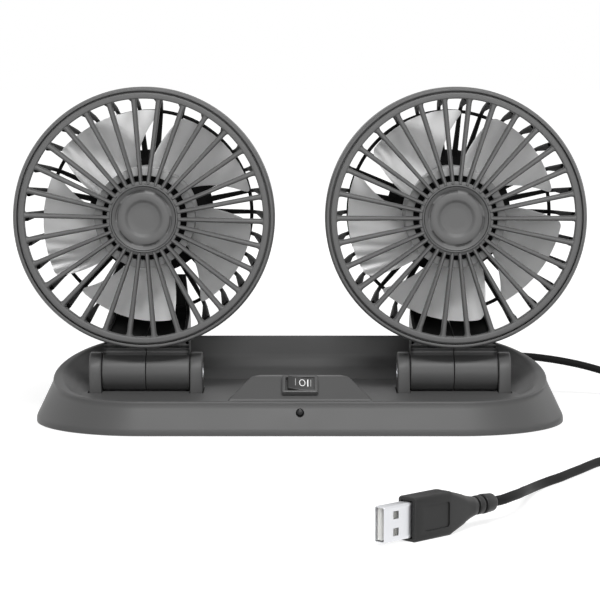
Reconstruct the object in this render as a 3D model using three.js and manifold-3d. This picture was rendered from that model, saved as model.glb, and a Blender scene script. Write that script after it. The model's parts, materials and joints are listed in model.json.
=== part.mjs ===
// Dual head car fan: two tilting fan heads on one long base, with a rocker switch and a USB lead.
// Millimetres. X is to the right, Y to the back, Z up. The origin is under the middle of the base.

import * as THREE from 'three';
import { mergeVertices } from 'three/addons/utils/BufferGeometryUtils.js';
import Module from 'manifold-3d';

const wasm = await Module();
wasm.setup();

// Clearances and cutting
const gap = 0.3; // between solids that touch on the real object
const cut = 1; // overrun of every cutting solid
const weld = 0.0001; // vertices closer than this are one vertex

// Base: a long dish on four rubber feet
const headPitch = 137; // between the two fan axes
const baseDepth = 99;
const feetProud = 0.8;
const bandHeight = 3; // upright band along the bottom edge
const frontHeight = 14.6;
const backHeight = 33;
const rimCurveShare = 1.3; // power that bends the rim from front to back
const frontInset = 5; // how far the rim stands in from the bottom edge
const endInset = 7.5;
const backInset = 6;
const lipWidth = 1.8;
const lipRound = 0.7;
const floorHeight = 13.9; // tray floor
const floorWall = 2.4;
const baseWall = 2.2;
const trayRun = 9.5; // how far the tray's back wall leans in from rim to floor
const endSteps = 10; // steps round each half circle of the outline

// Bottom cover, feet and screws
const coverThickness = 2.6;
const footRadius = 6;
const footThickness = 1.3;
const footInset = 15.5; // feet's middles inside the base's long edges
const footBeyond = 9.5; // and past the fans' axes
const bossClearance = 1; // between a screw boss and an ear's flange
const screwY = 20;
const screwShank = 1;
const screwHead = 2.3;
const screwHeadThickness = 1.1;
const screwLength = 8.5;
const bossRadius = 3.4;

// Switch console and switch
const consoleSetback = 8.5; // its foot behind the base's front edge
const consoleSlope = 37.6; // degrees from level
const consoleFaceLength = 14;
const consoleHalfWidth = 31.6;
const consoleTopHalfWidth = 21.6;
const consoleFlat = 6.3; // depth of the flat top
const consoleBackLean = 2.6;
const consoleBackShare = 0.82; // width of the top's rear edge to its front edge
const consoleWall = 1.9;
const bezelLength = 15.4;
const bezelWidth = 10.4;
const bezelThickness = 1.8;
const switchBodyLength = 13.6;
const switchBodyWidth = 8.8;
const switchBodyDepth = 8.6;
const switchWall = 0.7;
const rockerHalfLength = 5.5;
const rockerWidth = 6.8;
const rockerTop = 3.2; // height of the rocker's ends over its pivot
const rockerDish = 0.7; // how much lower its middle is
const rockerEdge = 0.8; // height of the ends' lower edge over the pivot
const rockerHeel = 2.6; // radius of its round underside
const pivotDrop = 0.6; // pivot under the console's face
const rockAngle = 9; // degrees from the middle to each end position

// Lamp and board
const lampRadius = 1.5;
const lampHeight = 9.8;
const lampLength = 5.2;
const boardWidth = 46;
const boardDepth = 26;
const boardThickness = 1.6;
const boardSetback = 31.5; // its middle behind the base's front edge
const postHeight = 2;
const postRadius = 1.8;

// Hinges
const hingeSetback = 45.5; // hinge axis behind the base's front edge
const hingeHeight = 22.3;
const barrelRadius = 8.4;
const barrelHalfWidth = 19.4;
const earThickness = 5.4;
const earRadius = 8.7;
const earFlange = 2;
const earFlangeMargin = 3;
const earSlotFree = 1.6; // open length of the slot in front of each ear
const hingeScrewRadius = 2;
const hingeScrewHead = 3.6;
const hingeScrewHeadThickness = 2;
const nutAcross = 7;
const nutThickness = 2.2;

// Fan heads, in a frame at the fan's axis: radius, and depth behind the seam of grille and cage
const headRadius = 57.5;
const neckHeight = 11.7; // from the hinge axis up to the rim
const seamAhead = 12.6; // seam in front of the hinge axis
const rimDepth = 12;
const rimWall = 4;
const rimRound = 1.2;
const guardRing = 3.7; // width of the rear guard's ring, behind the rim
const guardThickness = 1.7;
const rimEdge = 2.2; // from the rim's outside to its seam with the grille
const grilleRing = 3; // width of the grille's ring
const grilleDepth = 1.9;
const grilleProud = 1.7;
const spokeCount = 30;
const spokeRoot = 1.6; // thickness at the hub
const spokeTip = 2.1; // thickness at the ring
const hubRadius = 16.3;
const capRadius = 13.9;
const capArcRadius = 12;
const capArcWidth = 1.3;
const capArcDepth = 0.8;
const capArcCount = 6;
const capArcSpan = 37; // degrees
const capArcTurn = 47; // degrees, middle of the first groove
const capDisc = 8.3;
const capDishDepth = 1.2; // in the middle of the disc
const capDiscDepth = 0.9; // at the disc's edge
const capStepDepth = 0.4; // just outside the disc
const ribWidth = 1.6;
const ribDepth = 2.4;
const guardTaper = 6.3; // how much narrower than the rim the ribs stand where they begin to turn in
const turnInset = 4; // how far they turn in
const turnLength = 7.4; // and the depth that they take for it
const hoopShare = 0.7; // place of the thin hoop between those two bends
const hoopThickness = 1.5;
const cageDomeDepth = 2.4; // from that turn to the back of the guard
const backDisc = 28.6;
const backDiscThickness = 2.6;
const cageShoulder = 45; // depth where the ribs begin to turn inwards

// Sides of round solids
const roundSteps = 36; // large rings
const smallSteps = 20; // the hub's rings
const wheelSteps = 24;
const barrelSideCount = 20;
const knobSideCount = 16;
const boreSideCount = 12;
const footSideCount = 10;
const pinSideCount = 8;

// Motor and fan wheel
const bearingBore = 1.9;
const bearingRadius = 4.5;
const bearingFront = 14.4;
const shaftRadius = 1.5;
const shaftInset = 6.3; // between the shaft's end and the back of the guard
const canRadius = 19.6;
const canWall = 1.5;
const canFrontDepth = 9;
const canBackDepth = 33;
const canBossRadius = 4;
const canBossLength = 3;
const statorRadius = 17.2;
const statorFront = 16;
const statorLength = 14;
const statorSlots = 6;
const statorSlotShare = 0.36; // slot to tooth pitch
const statorCore = 8.5;
const wheelRadius = 22.2; // outside of the wheel's hub
const wheelFrontDepth = 4.9;
const wheelBackDepth = 36.5;
const tipClearance = 4.2; // between the blades' tips and the ribs' outside where they begin to turn in
const bladeCount = 5;
const bladeThickness = 1.5;
const bladeRootStart = 37.5; // degrees, deep edge at the hub
const bladeRootEnd = 84; // front edge at the hub
const bladeTipStart = 14.9;
const bladeTipEnd = 68.2;
const bladeFront = 6;
const bladeRootDeep = 34;
const bladeTipDeep = 36;
const bladeCamberShare = 0.07;
const bladeEdgeShare = 0.5; // thickness of a blade's edges to its middle
const bladeStations = 5;
const bladeChordSteps = 4;

// Arm between hinge and head, moulded in two halves
const armHalfRim = 19; // half width under the rim
const armHalfTop = 15.5; // half width at the back disc
const armWall = 1.7;
const armSide = 1.5; // thickness of the side walls
const armLip = 2.4; // how far the side walls stand over the channel's floor
const neckFrontShare = 0.8; // neck's front under the rim, of the barrel's radius
const neckFootShare = 0.97; // neck's width at the barrel, of the barrel's radius
const neckBackShares = [[1.1, 0.55], [1.7, 1.05]]; // its back, of that radius and of the height to the rim

// Lead and plug
const cordDiameter = 3.5;
const reliefTurn = 69; // degrees round the right end of the base, from X
const reliefHeight = 19.5;
const reliefRoot = 3;
const reliefTip = 2.3;
const reliefLength = 14;
const reliefFlange = 4.2;
const reliefFlangeThickness = 1.2;
const leadStraight = 5; // how far the lead runs straight out of the relief
const reliefSeat = 1; // between the drafted wall and the flange, at the lead's height
const coilX = 168.5;
const coilY = 10;
const coilRadius = 26.2; // outer turn, to the middle of the lead
const coilPitch = 4.05;
const coilTurnsIn = 2.75;
const coilTurnsClimb = 0.5;
const coilTuckShare = 0.25; // how far the climbing half turn draws in, of the pitch
const coilSteps = 20;
const coilSideCount = 6;
const coilStraight = 3.5;
const floorTouch = 0.05; // between the floor and the lowest point of the lead
const plugX = 35.2; // front end of the grip, on the plug's axis
const plugY = -264.3;
const plugTurn = 44.5; // degrees from X
const gripHeight = 15;
const gripThickness = 8;
const gripLength = 18;
const gripTaper = 9.5;
const gripNeck = 4.6;
const gripCorner = 1.2;
const gripPanelLength = 9.5;
const gripPanelHeight = 8.4;
const gripPanelDepth = 0.5;
const gripTaperShares = [0.93, 0.8]; // thickness and height halfway along the taper, of the grip's
const gripEndShares = [1.1, 1.3]; // and at its end, of the neck's
const plugReliefLength = 17;
const plugReliefRings = 3;
const plugReliefRadius = 3.3;
const plugReliefCore = 2.5;
const plugReliefRing = 2.4;
const plugReliefShare = 0.6; // first ring's start, of the rings' pitch
const shellWidth = 12;
const shellHeight = 4.5;
const shellWall = 0.35;
const shellOut = 13;
const shellIn = 5;
const shellHole = 2.2;
const shellHoleBack = 5.2; // holes' middle behind the tip
const shellHoleApart = 5;
const tongueThickness = 1.8;
const tongueShort = 0.8; // how far the tongue ends behind the shell's tip

// Shapes

// A closed geometry with shared vertices, no empty triangles and its faces pointing out.
function closed(source) {
  const bare = source.clone();
  bare.deleteAttribute('normal');
  bare.deleteAttribute('uv');
  const merged = mergeVertices(bare, weld);
  const place = merged.attributes.position;
  const old = merged.index.array;
  const kept = [];
  let volume = 0;
  const a = new THREE.Vector3();
  const b = new THREE.Vector3();
  const c = new THREE.Vector3();
  for (let i = 0; i < old.length; i += 3) {
    const [p, q, r] = [old[i], old[i + 1], old[i + 2]];
    if (p === q || q === r || r === p) continue;
    kept.push(p, q, r);
    a.fromBufferAttribute(place, p);
    b.fromBufferAttribute(place, q);
    c.fromBufferAttribute(place, r);
    volume += a.dot(b.cross(c));
  }
  if (volume < 0) kept.reverse();
  merged.setIndex(kept);
  return merged;
}

function toSolid(source) {
  const merged = closed(source);
  return new wasm.Manifold(new wasm.Mesh({
    numProp: 3,
    vertProperties: new Float32Array(merged.attributes.position.array),
    triVerts: new Uint32Array(merged.index.array),
  }));
}

function toGeometry(solid) {
  const mesh = solid.getMesh();
  const geometry = new THREE.BufferGeometry();
  geometry.setAttribute('position', new THREE.BufferAttribute(new Float32Array(mesh.vertProperties), 3));
  geometry.setIndex(new THREE.BufferAttribute(new Uint32Array(mesh.triVerts), 1));
  return geometry;
}

// A solid moved by a matrix. A mirror turns its faces, and closed() turns them back.
function placed(solid, matrix) {
  return toSolid(toGeometry(solid).applyMatrix4(matrix));
}

const moved = (solid, x, y, z) => placed(solid, new THREE.Matrix4().makeTranslation(x, y, z));
const mirrored = (solid) => placed(solid, new THREE.Matrix4().makeScale(-1, 1, 1));
const join = (first, ...rest) => rest.reduce((whole, piece) => whole.add(piece), first);
const carve = (first, ...rest) => rest.reduce((whole, piece) => whole.subtract(piece), first);

// A box from its lowest and highest corners.
function block(low, high) {
  const size = high.map((value, i) => value - low[i]);
  const middle = high.map((value, i) => (value + low[i]) / 2);
  return toSolid(new THREE.BoxGeometry(...size).translate(...middle));
}

// An upright cylinder between two heights.
function upright(x, y, radius, bottom, top, sides = footSideCount) {
  const body = new THREE.CylinderGeometry(radius, radius, top - bottom, sides).rotateX(Math.PI / 2);
  return toSolid(body.translate(x, y, (top + bottom) / 2));
}

// A cylinder along X between two places.
function crosswise(radius, from, to, sides = barrelSideCount) {
  const body = new THREE.CylinderGeometry(radius, radius, to - from, sides).rotateZ(Math.PI / 2);
  return toSolid(body.translate((to + from) / 2, 0, 0));
}

// A ring or disc about Y, from its closed section of [radius, depth] points.
function turned(section, steps = roundSteps, start = 0) {
  const points = [...section, section[0]].map(([radius, depth]) => new THREE.Vector2(radius, depth));
  return toSolid(new THREE.LatheGeometry(points, steps, start));
}

// Closed rings of points joined in order, with both ends capped.
function loft(rings) {
  const count = rings[0].length;
  const points = rings.flat();
  const faces = [];
  for (let k = 0; k < rings.length - 1; k += 1) {
    for (let i = 0; i < count; i += 1) {
      const j = (i + 1) % count;
      const [a, b, c, d] = [k * count + i, k * count + j, (k + 1) * count + j, (k + 1) * count + i];
      faces.push(a, b, c, a, c, d);
    }
  }
  const middle = (ring) => ring.reduce((sum, p) => sum.add(p), new THREE.Vector3()).divideScalar(count);
  const first = points.length;
  const last = first + 1;
  points.push(middle(rings[0]), middle(rings[rings.length - 1]));
  const base = (rings.length - 1) * count;
  for (let i = 0; i < count; i += 1) {
    const j = (i + 1) % count;
    faces.push(first, j, i, last, base + i, base + j);
  }
  const geometry = new THREE.BufferGeometry().setFromPoints(points);
  geometry.setIndex(faces);
  return geometry;
}

// An outline in the YZ plane carried along X between two places.
function slab(outline, from, to) {
  const shape = new THREE.Shape(outline.map(([y, z]) => new THREE.Vector2(y, z)));
  const body = new THREE.ExtrudeGeometry(shape, { depth: to - from, bevelEnabled: false });
  const turn = new THREE.Matrix4().makeBasis(
    new THREE.Vector3(0, 1, 0),
    new THREE.Vector3(0, 0, 1),
    new THREE.Vector3(1, 0, 0),
  );
  return body.applyMatrix4(turn).translate(from, 0, 0);
}

// Materials, one for each mesh
const finishes = {
  grey: { color: 0x646464, roughness: 0.45, metalness: 0 },
  dark: { color: 0x1d1d1d, roughness: 0.55, metalness: 0 },
  blade: { color: 0xb4b4b4, roughness: 0.5, metalness: 0 },
  cable: { color: 0x141414, roughness: 0.6, metalness: 0 },
  steel: { color: 0xb9bcc0, roughness: 0.3, metalness: 1 },
  copper: { color: 0x9a5a34, roughness: 0.4, metalness: 1 },
  rubber: { color: 0x222222, roughness: 0.9, metalness: 0 },
  board: { color: 0x1f5a38, roughness: 0.6, metalness: 0 },
  lamp: { color: 0x2b2b2b, roughness: 0.2, metalness: 0 },
  tongue: { color: 0xe8e8e8, roughness: 0.5, metalness: 0 },
};

function piece(name, body, finish) {
  const geometry = body instanceof THREE.BufferGeometry ? closed(body) : toGeometry(body);
  geometry.computeVertexNormals();
  const mesh = new THREE.Mesh(geometry, new THREE.MeshStandardMaterial(finishes[finish]));
  mesh.name = name;
  return mesh;
}

// Base

const baseRadius = baseDepth / 2;
const hingeY = hingeSetback - baseRadius;
const consoleFrontY = consoleSetback - baseRadius;
const boardY = boardSetback - baseRadius;
const rimSpan = baseDepth - frontInset - backInset;

function rimHeight(y) {
  const share = THREE.MathUtils.clamp((y + baseRadius - frontInset) / rimSpan, 0, 1);
  return frontHeight + (backHeight - frontHeight) * share ** rimCurveShare;
}

// How far the rim stands in, at a place of the outline given by its sine towards the back.
function rimInset(sine) {
  const side = sine < 0 ? frontInset : backInset;
  return endInset + (side - endInset) * sine * sine;
}

// Sines and cosines round the outline, with the side of the base that each point is on.
const outline = [];
for (const side of [1, -1]) {
  for (let i = 0; i <= endSteps; i += 1) {
    const angle = side * -Math.PI / 2 + (Math.PI * i) / endSteps;
    outline.push({ side, cosine: Math.cos(angle), sine: Math.sin(angle) });
  }
}

function outlineRing(insetOf, heightOf) {
  return outline.map((at) => {
    const radius = baseRadius - insetOf(at);
    const y = radius * at.sine;
    return new THREE.Vector3(at.side * (headPitch / 2) + radius * at.cosine, y, heightOf(at, y));
  });
}

const rimAt = (at) => rimHeight((baseRadius - rimInset(at.sine)) * at.sine);
const wallRise = (at) => rimAt(at) - floorHeight;
const traySpread = (at) => (trayRun * wallRise(at)) / (backHeight - floorHeight);
const trayInset = (at, share) => rimInset(at.sine) + lipWidth + traySpread(at) * share;
const bandTop = feetProud + bandHeight;
const lampY = -baseRadius + frontInset;
const floorUnder = floorHeight - floorWall;
const hollowShare = 0.5; // how far up the wall the hollow under the rim reaches

// Outer wall's inset at a height.
function wallInset(at, height) {
  return (rimInset(at.sine) * (height - bandTop)) / (rimAt(at) - bandTop);
}

function hollowTop(at) {
  return floorUnder + wallRise(at) * hollowShare;
}

// The shell as one closed surface: tray floor, tray wall, lip, outer wall, and the hollow below.
function shellBody() {
  const trayShares = [[0.5, 0.36], [0.82, 0.72]]; // how far out and how far up the tray wall's bends lie
  const bends = trayShares.map(([out, up]) => outlineRing(
    (at) => trayInset(at, 1 - out),
    (at) => floorHeight + wallRise(at) * up,
  ));
  return toSolid(loft([
    outlineRing((at) => trayInset(at, 1), () => floorHeight),
    ...bends,
    outlineRing((at) => trayInset(at, 0), (at) => rimAt(at) - lipRound / 2),
    outlineRing((at) => rimInset(at.sine) + lipWidth - lipRound, (at) => rimAt(at)),
    outlineRing((at) => rimInset(at.sine) + lipRound, (at) => rimAt(at)),
    outlineRing((at) => rimInset(at.sine), (at) => rimAt(at) - lipRound),
    outlineRing(() => 0, () => bandTop),
    outlineRing(() => 0, () => feetProud),
    outlineRing(() => baseWall, () => feetProud),
    outlineRing(() => baseWall, () => bandTop),
    outlineRing((at) => wallInset(at, hollowTop(at)) + baseWall, hollowTop),
    outlineRing((at) => trayInset(at, 1) + baseWall / 2, () => floorUnder),
  ]));
}

// The console is a wedge with sloping ends: its outline at four corners of the floor and four of the top.
const slope = THREE.MathUtils.degToRad(consoleSlope);
const faceRun = consoleFaceLength * Math.cos(slope);
const faceRise = consoleFaceLength * Math.sin(slope);
const consoleTopY = consoleFrontY + faceRun;
const consoleTop = floorHeight + faceRise;

function wedge(shrink, sink) {
  const frontY = consoleFrontY + shrink;
  const topY = consoleTopY + shrink * Math.sin(slope);
  const backY = consoleTopY + consoleFlat - shrink;
  const bottomBack = backY + consoleBackLean;
  const low = floorHeight - sink;
  const high = consoleTop - shrink;
  const half = consoleHalfWidth - shrink;
  const topHalf = consoleTopHalfWidth - shrink;
  const backHalf = topHalf * consoleBackShare;
  const ring = (z, points) => points.map(([x, y]) => new THREE.Vector3(x, y, z));
  const foot = [[-half, frontY], [half, frontY], [half * consoleBackShare, bottomBack],
    [-half * consoleBackShare, bottomBack]];
  const top = [[-topHalf, topY], [topHalf, topY], [backHalf, backY], [-backHalf, backY]];
  return toSolid(loft([ring(low, foot), ring(floorHeight, foot), ring(high, top)]));
}

const switchFaceShare = 0.5; // how far up the console's face the switch sits

function switchFrame() {
  const frame = new THREE.Group();
  frame.position.set(
    0,
    consoleFrontY + faceRun * switchFaceShare,
    floorHeight + faceRise * switchFaceShare,
  );
  frame.rotation.x = slope;
  frame.updateMatrixWorld(true);
  return frame;
}

function inSwitchFrame(body) {
  return placed(body, switchFrame().matrixWorld);
}

const hingeXs = [-headPitch / 2, headPitch / 2];
const earInner = barrelHalfWidth + gap;
const earOuter = earInner + earThickness;
const bossTop = floorUnder + floorWall / 2;
const coverTop = feetProud + coverThickness;
const footX = headPitch / 2 + footBeyond;
const footY = baseRadius - footInset;
const screwX = headPitch / 2 - earOuter - earFlangeMargin - bossRadius - bossClearance;
const screwPlaces = [-screwX, screwX].flatMap((x) => [-screwY, screwY].map((y) => [x, y]));
const footPlaces = [-footX, footX].flatMap((x) => [-footY, footY].map((y) => [x, y]));

// The lead leaves the rounded rear corner square to its wall: a frame there, with Y pointing out.
const reliefAngle = THREE.MathUtils.degToRad(reliefTurn);
const reliefAt = { side: 1, cosine: Math.cos(reliefAngle), sine: Math.sin(reliefAngle) };
const reliefWall = baseRadius - wallInset(reliefAt, reliefHeight);
const reliefFrame = new THREE.Group();
reliefFrame.position.set(
  headPitch / 2 + reliefWall * reliefAt.cosine,
  reliefWall * reliefAt.sine,
  reliefHeight,
);
reliefFrame.rotation.z = reliefAngle - Math.PI / 2;
reliefFrame.updateMatrixWorld(true);

function reliefBore() {
  const from = -baseWall * 2 - reliefFlangeThickness;
  const bore = new THREE.CylinderGeometry(reliefRoot + gap, reliefRoot + gap, cut * 2 - from, boreSideCount);
  return toSolid(bore.translate(0, (from + cut * 2) / 2, 0).applyMatrix4(reliefFrame.matrixWorld));
}

function topShell() {
  const bosses = screwPlaces.map(([x, y]) => upright(x, y, bossRadius, coverTop + gap, bossTop));
  const holes = screwPlaces.map(([x, y]) => upright(
    x, y, screwShank + gap, coverTop, feetProud + gap + screwLength + gap, pinSideCount,
  ));
  const slots = hingeXs.flatMap((x) => [-1, 1].map((side) => {
    const near = side > 0 ? x + earInner : x - earOuter;
    return block(
      [near - gap, hingeY - earRadius - earSlotFree, floorUnder - cut],
      [near + earThickness + gap, hingeY + earRadius + gap, floorHeight + cut],
    );
  }));
  const opening = inSwitchFrame(block(
    [-switchBodyLength / 2 - gap, -switchBodyWidth / 2 - gap, -consoleWall - baseWall],
    [switchBodyLength / 2 + gap, switchBodyWidth / 2 + gap, cut],
  ));
  const lampWay = lampRadius + gap;
  const lampBore = new THREE.CylinderGeometry(lampWay, lampWay, frontInset * 2 + cut, knobSideCount);
  const lampHole = toSolid(lampBore.translate(0, lampY, lampHeight));
  return carve(
    join(shellBody(), wedge(0, floorWall / 2), ...bosses),
    wedge(consoleWall, floorWall + cut),
    ...holes,
    ...slots,
    opening,
    lampHole,
    reliefBore(),
  );
}

function bottomCover() {
  const edge = () => baseWall + gap;
  const plate = toSolid(loft([outlineRing(edge, () => feetProud), outlineRing(edge, () => coverTop)]));
  const postPlaces = [-1, 1].flatMap((sx) => [-1, 1].map((sy) => [
    sx * (boardWidth / 2 - postRadius), boardY + sy * (boardDepth / 2 - postRadius)]));
  const posts = postPlaces.map(([x, y]) => upright(
    x, y, postRadius, (feetProud + coverTop) / 2, coverTop + postHeight, pinSideCount,
  ));
  const recesses = footPlaces.map(([x, y]) => upright(x, y, footRadius + gap, 0, footThickness + gap));
  const bores = screwPlaces.map(([x, y]) => upright(
    x, y, screwShank + gap, 0, coverTop + cut, pinSideCount,
  ));
  const sinks = screwPlaces.map(([x, y]) => upright(
    x, y, screwHead + gap, 0, feetProud + gap + screwHeadThickness + gap,
  ));
  return carve(join(plate, ...posts), ...recesses, ...bores, ...sinks);
}

function foot([x, y]) {
  return upright(x, y, footRadius, 0, footThickness);
}

// A pan-head screw, head down, its axis upright.
function coverScrew([x, y]) {
  const bottom = feetProud + gap;
  return join(
    upright(x, y, screwHead, bottom, bottom + screwHeadThickness),
    upright(x, y, screwShank, bottom + screwHeadThickness / 2, bottom + screwLength, pinSideCount),
  );
}

// Hinge ears come up through the slots, held by a flange under the tray floor.
function ear(x, side) {
  const drop = hingeHeight - (floorUnder - gap);
  const arcSteps = 10;
  const outlinePoints = [];
  for (let i = 0; i <= arcSteps; i += 1) {
    const angle = (Math.PI * i) / arcSteps;
    outlinePoints.push([earRadius * Math.cos(angle), earRadius * Math.sin(angle)]);
  }
  outlinePoints.push([-earRadius, -drop - earFlange / 2], [earRadius, -drop - earFlange / 2]);
  const from = side > 0 ? earInner : -earOuter;
  const plate = toSolid(slab(outlinePoints, from, from + earThickness));
  const flange = block(
    [from - earFlangeMargin, -earRadius - earFlangeMargin, -drop - earFlange],
    [from + earThickness + earFlangeMargin, earRadius + earFlangeMargin, -drop],
  );
  const bore = crosswise(hingeScrewRadius + gap, from - cut, from + earThickness + cut, boreSideCount);
  const headHere = x * side > 0;
  const sinkFrom = side > 0 ? earOuter - hingeScrewHeadThickness - gap : -earOuter - cut;
  const sinkTo = side > 0 ? earOuter + cut : -earOuter + hingeScrewHeadThickness + gap;
  const sink = headHere
    ? crosswise(hingeScrewHead + gap, sinkFrom, sinkTo, knobSideCount)
    : nutBody(nutAcross + gap * 2, sinkFrom, sinkTo);
  return moved(carve(join(plate, flange), bore, sink), x, hingeY, hingeHeight);
}

function nutBody(across, from, to) {
  return crosswise(across / 2 / Math.cos(Math.PI / 6), from, to, 6);
}

// The screw's head is in the outer ear, its nut in the inner one.
function hingeScrew(x) {
  const side = Math.sign(x);
  const headFrom = earOuter - hingeScrewHeadThickness;
  const head = crosswise(hingeScrewHead, headFrom, earOuter, knobSideCount);
  const headMiddle = headFrom + hingeScrewHeadThickness / 2;
  const shank = crosswise(hingeScrewRadius, -earOuter + gap, headMiddle, boreSideCount);
  const body = join(head, shank);
  return moved(side > 0 ? body : mirrored(body), x, hingeY, hingeHeight);
}

function hingeNut(x) {
  const side = Math.sign(x);
  const from = -earOuter + (hingeScrewHeadThickness - nutThickness);
  const body = carve(
    nutBody(nutAcross, from, from + nutThickness),
    crosswise(hingeScrewRadius + gap, from - cut, from + nutThickness + cut, boreSideCount),
  );
  return moved(side > 0 ? body : mirrored(body), x, hingeY, hingeHeight);
}

// Switch, in a frame on the console's face: X along the switch, Y up the slope, Z out of the face

function switchHousing() {
  const bezel = block(
    [-bezelLength / 2, -bezelWidth / 2, gap],
    [bezelLength / 2, bezelWidth / 2, gap + bezelThickness],
  );
  const body = block(
    [-switchBodyLength / 2, -switchBodyWidth / 2, -switchBodyDepth],
    [switchBodyLength / 2, switchBodyWidth / 2, gap + bezelThickness / 2],
  );
  const wellX = switchBodyLength / 2 - switchWall;
  const wellY = switchBodyWidth / 2 - switchWall;
  const well = block(
    [-wellX, -wellY, -switchBodyDepth + switchWall],
    [wellX, wellY, gap + bezelThickness + cut],
  );
  return carve(join(bezel, body), well);
}

// The rocker's side outline about its pivot: a dished top over a round heel.
function rockerBody() {
  const heelSteps = 10;
  const dishSteps = 8;
  const points = [];
  for (let i = 0; i <= heelSteps; i += 1) {
    const angle = -Math.PI + (Math.PI * i) / heelSteps;
    points.push([rockerHeel * Math.cos(angle), rockerHeel * Math.sin(angle)]);
  }
  points.push([rockerHalfLength, rockerEdge]);
  for (let i = 0; i <= dishSteps; i += 1) {
    const share = 1 - (2 * i) / dishSteps;
    points.push([rockerHalfLength * share, rockerTop - rockerDish * (1 - share * share)]);
  }
  points.push([-rockerHalfLength, rockerEdge]);
  const shape = new THREE.Shape(points.map(([x, z]) => new THREE.Vector2(x, z)));
  const body = new THREE.ExtrudeGeometry(shape, { depth: rockerWidth, bevelEnabled: false });
  return body.rotateX(Math.PI / 2).translate(0, rockerWidth / 2, 0);
}

// Fan head, in a frame at the fan's axis: Y is the axis, its front towards -Y

const fanHeight = headRadius + neckHeight; // fan axis over the hinge axis
const seamRadius = headRadius - rimEdge;
const grilleRadius = seamRadius - grilleRing;
const cornerRadius = headRadius - guardTaper;
const turnRadius = cornerRadius - turnInset;
const turnDepth = cageShoulder + turnLength;
const cageDepth = turnDepth + cageDomeDepth;
const guardRadius = seamRadius - gap; // outside of the rear guard, behind the rim
const guardMiddle = rimDepth + gap + guardThickness / 2; // depth of its ring
const hoopRadius = THREE.MathUtils.lerp(cornerRadius, turnRadius, hoopShare);
const hoopDepth = THREE.MathUtils.lerp(cageShoulder, turnDepth, hoopShare);

// The guard's outside in the plane of a rib, from the rim to the back disc: [radius, depth].
const cageLine = [
  [guardRadius - gap, guardMiddle],
  [cornerRadius, cageShoulder],
  [turnRadius, turnDepth],
  [backDisc - backDiscThickness, cageDepth],
];

// The same line moved inwards, square to itself.
function innerLine(line, distance) {
  return line.map(([radius, depth], i) => {
    const [r0, d0] = line[Math.max(i - 1, 0)];
    const [r1, d1] = line[Math.min(i + 1, line.length - 1)];
    const length = Math.hypot(r1 - r0, d1 - d0);
    return [radius - ((d1 - d0) / length) * distance, depth + ((r1 - r0) / length) * distance];
  });
}

// The ring that carries the grille in front and the guard behind.
function headRim() {
  const front = -grilleProud / 2;
  const back = rimDepth;
  const inner = headRadius - rimWall;
  const seat = grilleDepth + gap;
  return turned([
    [seamRadius + gap, front],
    [headRadius - rimRound, front],
    [headRadius, front + rimRound],
    [headRadius, back],
    [inner, back],
    [inner, seat],
    [seamRadius + gap, seat],
  ]);
}

function rib(angle) {
  const inside = innerLine(cageLine, ribDepth).reverse();
  inside[inside.length - 1] = [guardRadius - gap - ribDepth, guardMiddle];
  const points = [...cageLine, ...inside];
  const shape = new THREE.Shape(points.map(([r, d]) => new THREE.Vector2(r, d)));
  const body = new THREE.ExtrudeGeometry(shape, { depth: ribWidth, bevelEnabled: false });
  return toSolid(body.translate(0, 0, -ribWidth / 2).rotateY(-angle));
}

const spokeAngles = Array.from({ length: spokeCount }, (_, k) => (2 * Math.PI * k) / spokeCount);

// The guard's ribs spring from a flat ring against the back of the rim.
function rearCage() {
  const ring = turned([
    [guardRadius - guardRing, rimDepth + gap],
    [guardRadius, rimDepth + gap],
    [guardRadius, rimDepth + gap + guardThickness],
    [guardRadius - guardRing, rimDepth + gap + guardThickness],
  ], spokeCount, Math.PI / spokeCount);
  const hoop = turned([
    [hoopRadius - hoopThickness, hoopDepth - hoopThickness],
    [hoopRadius, hoopDepth - hoopThickness],
    [hoopRadius, hoopDepth],
    [hoopRadius - hoopThickness, hoopDepth],
  ], spokeCount, Math.PI / spokeCount);
  const disc = turned([
    [0, cageDepth + gap],
    [backDisc, cageDepth + gap],
    [backDisc, cageDepth - backDiscThickness],
    [0, cageDepth - backDiscThickness],
  ], spokeCount, Math.PI / spokeCount);
  const bearing = turned([
    [0, cageDepth - backDiscThickness / 2],
    [bearingRadius, cageDepth - backDiscThickness / 2],
    [bearingRadius, bearingFront],
    [0, bearingFront],
  ], boreSideCount);
  const bore = turned([
    [0, shaftEnd + gap * 2],
    [bearingBore, shaftEnd + gap * 2],
    [bearingBore, bearingFront - cut],
    [0, bearingFront - cut],
  ], boreSideCount);
  const armHalf = Math.asin(armHalfRim / hoopRadius);
  const ribs = spokeAngles
    .filter((angle) => Math.abs(angle - Math.PI * 1.5) > armHalf)
    .map((angle) => rib(angle));
  const cage = join(ring, disc, bearing, hoop, ...ribs);
  return carve(cage, bore, armEnvelope());
}

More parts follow.
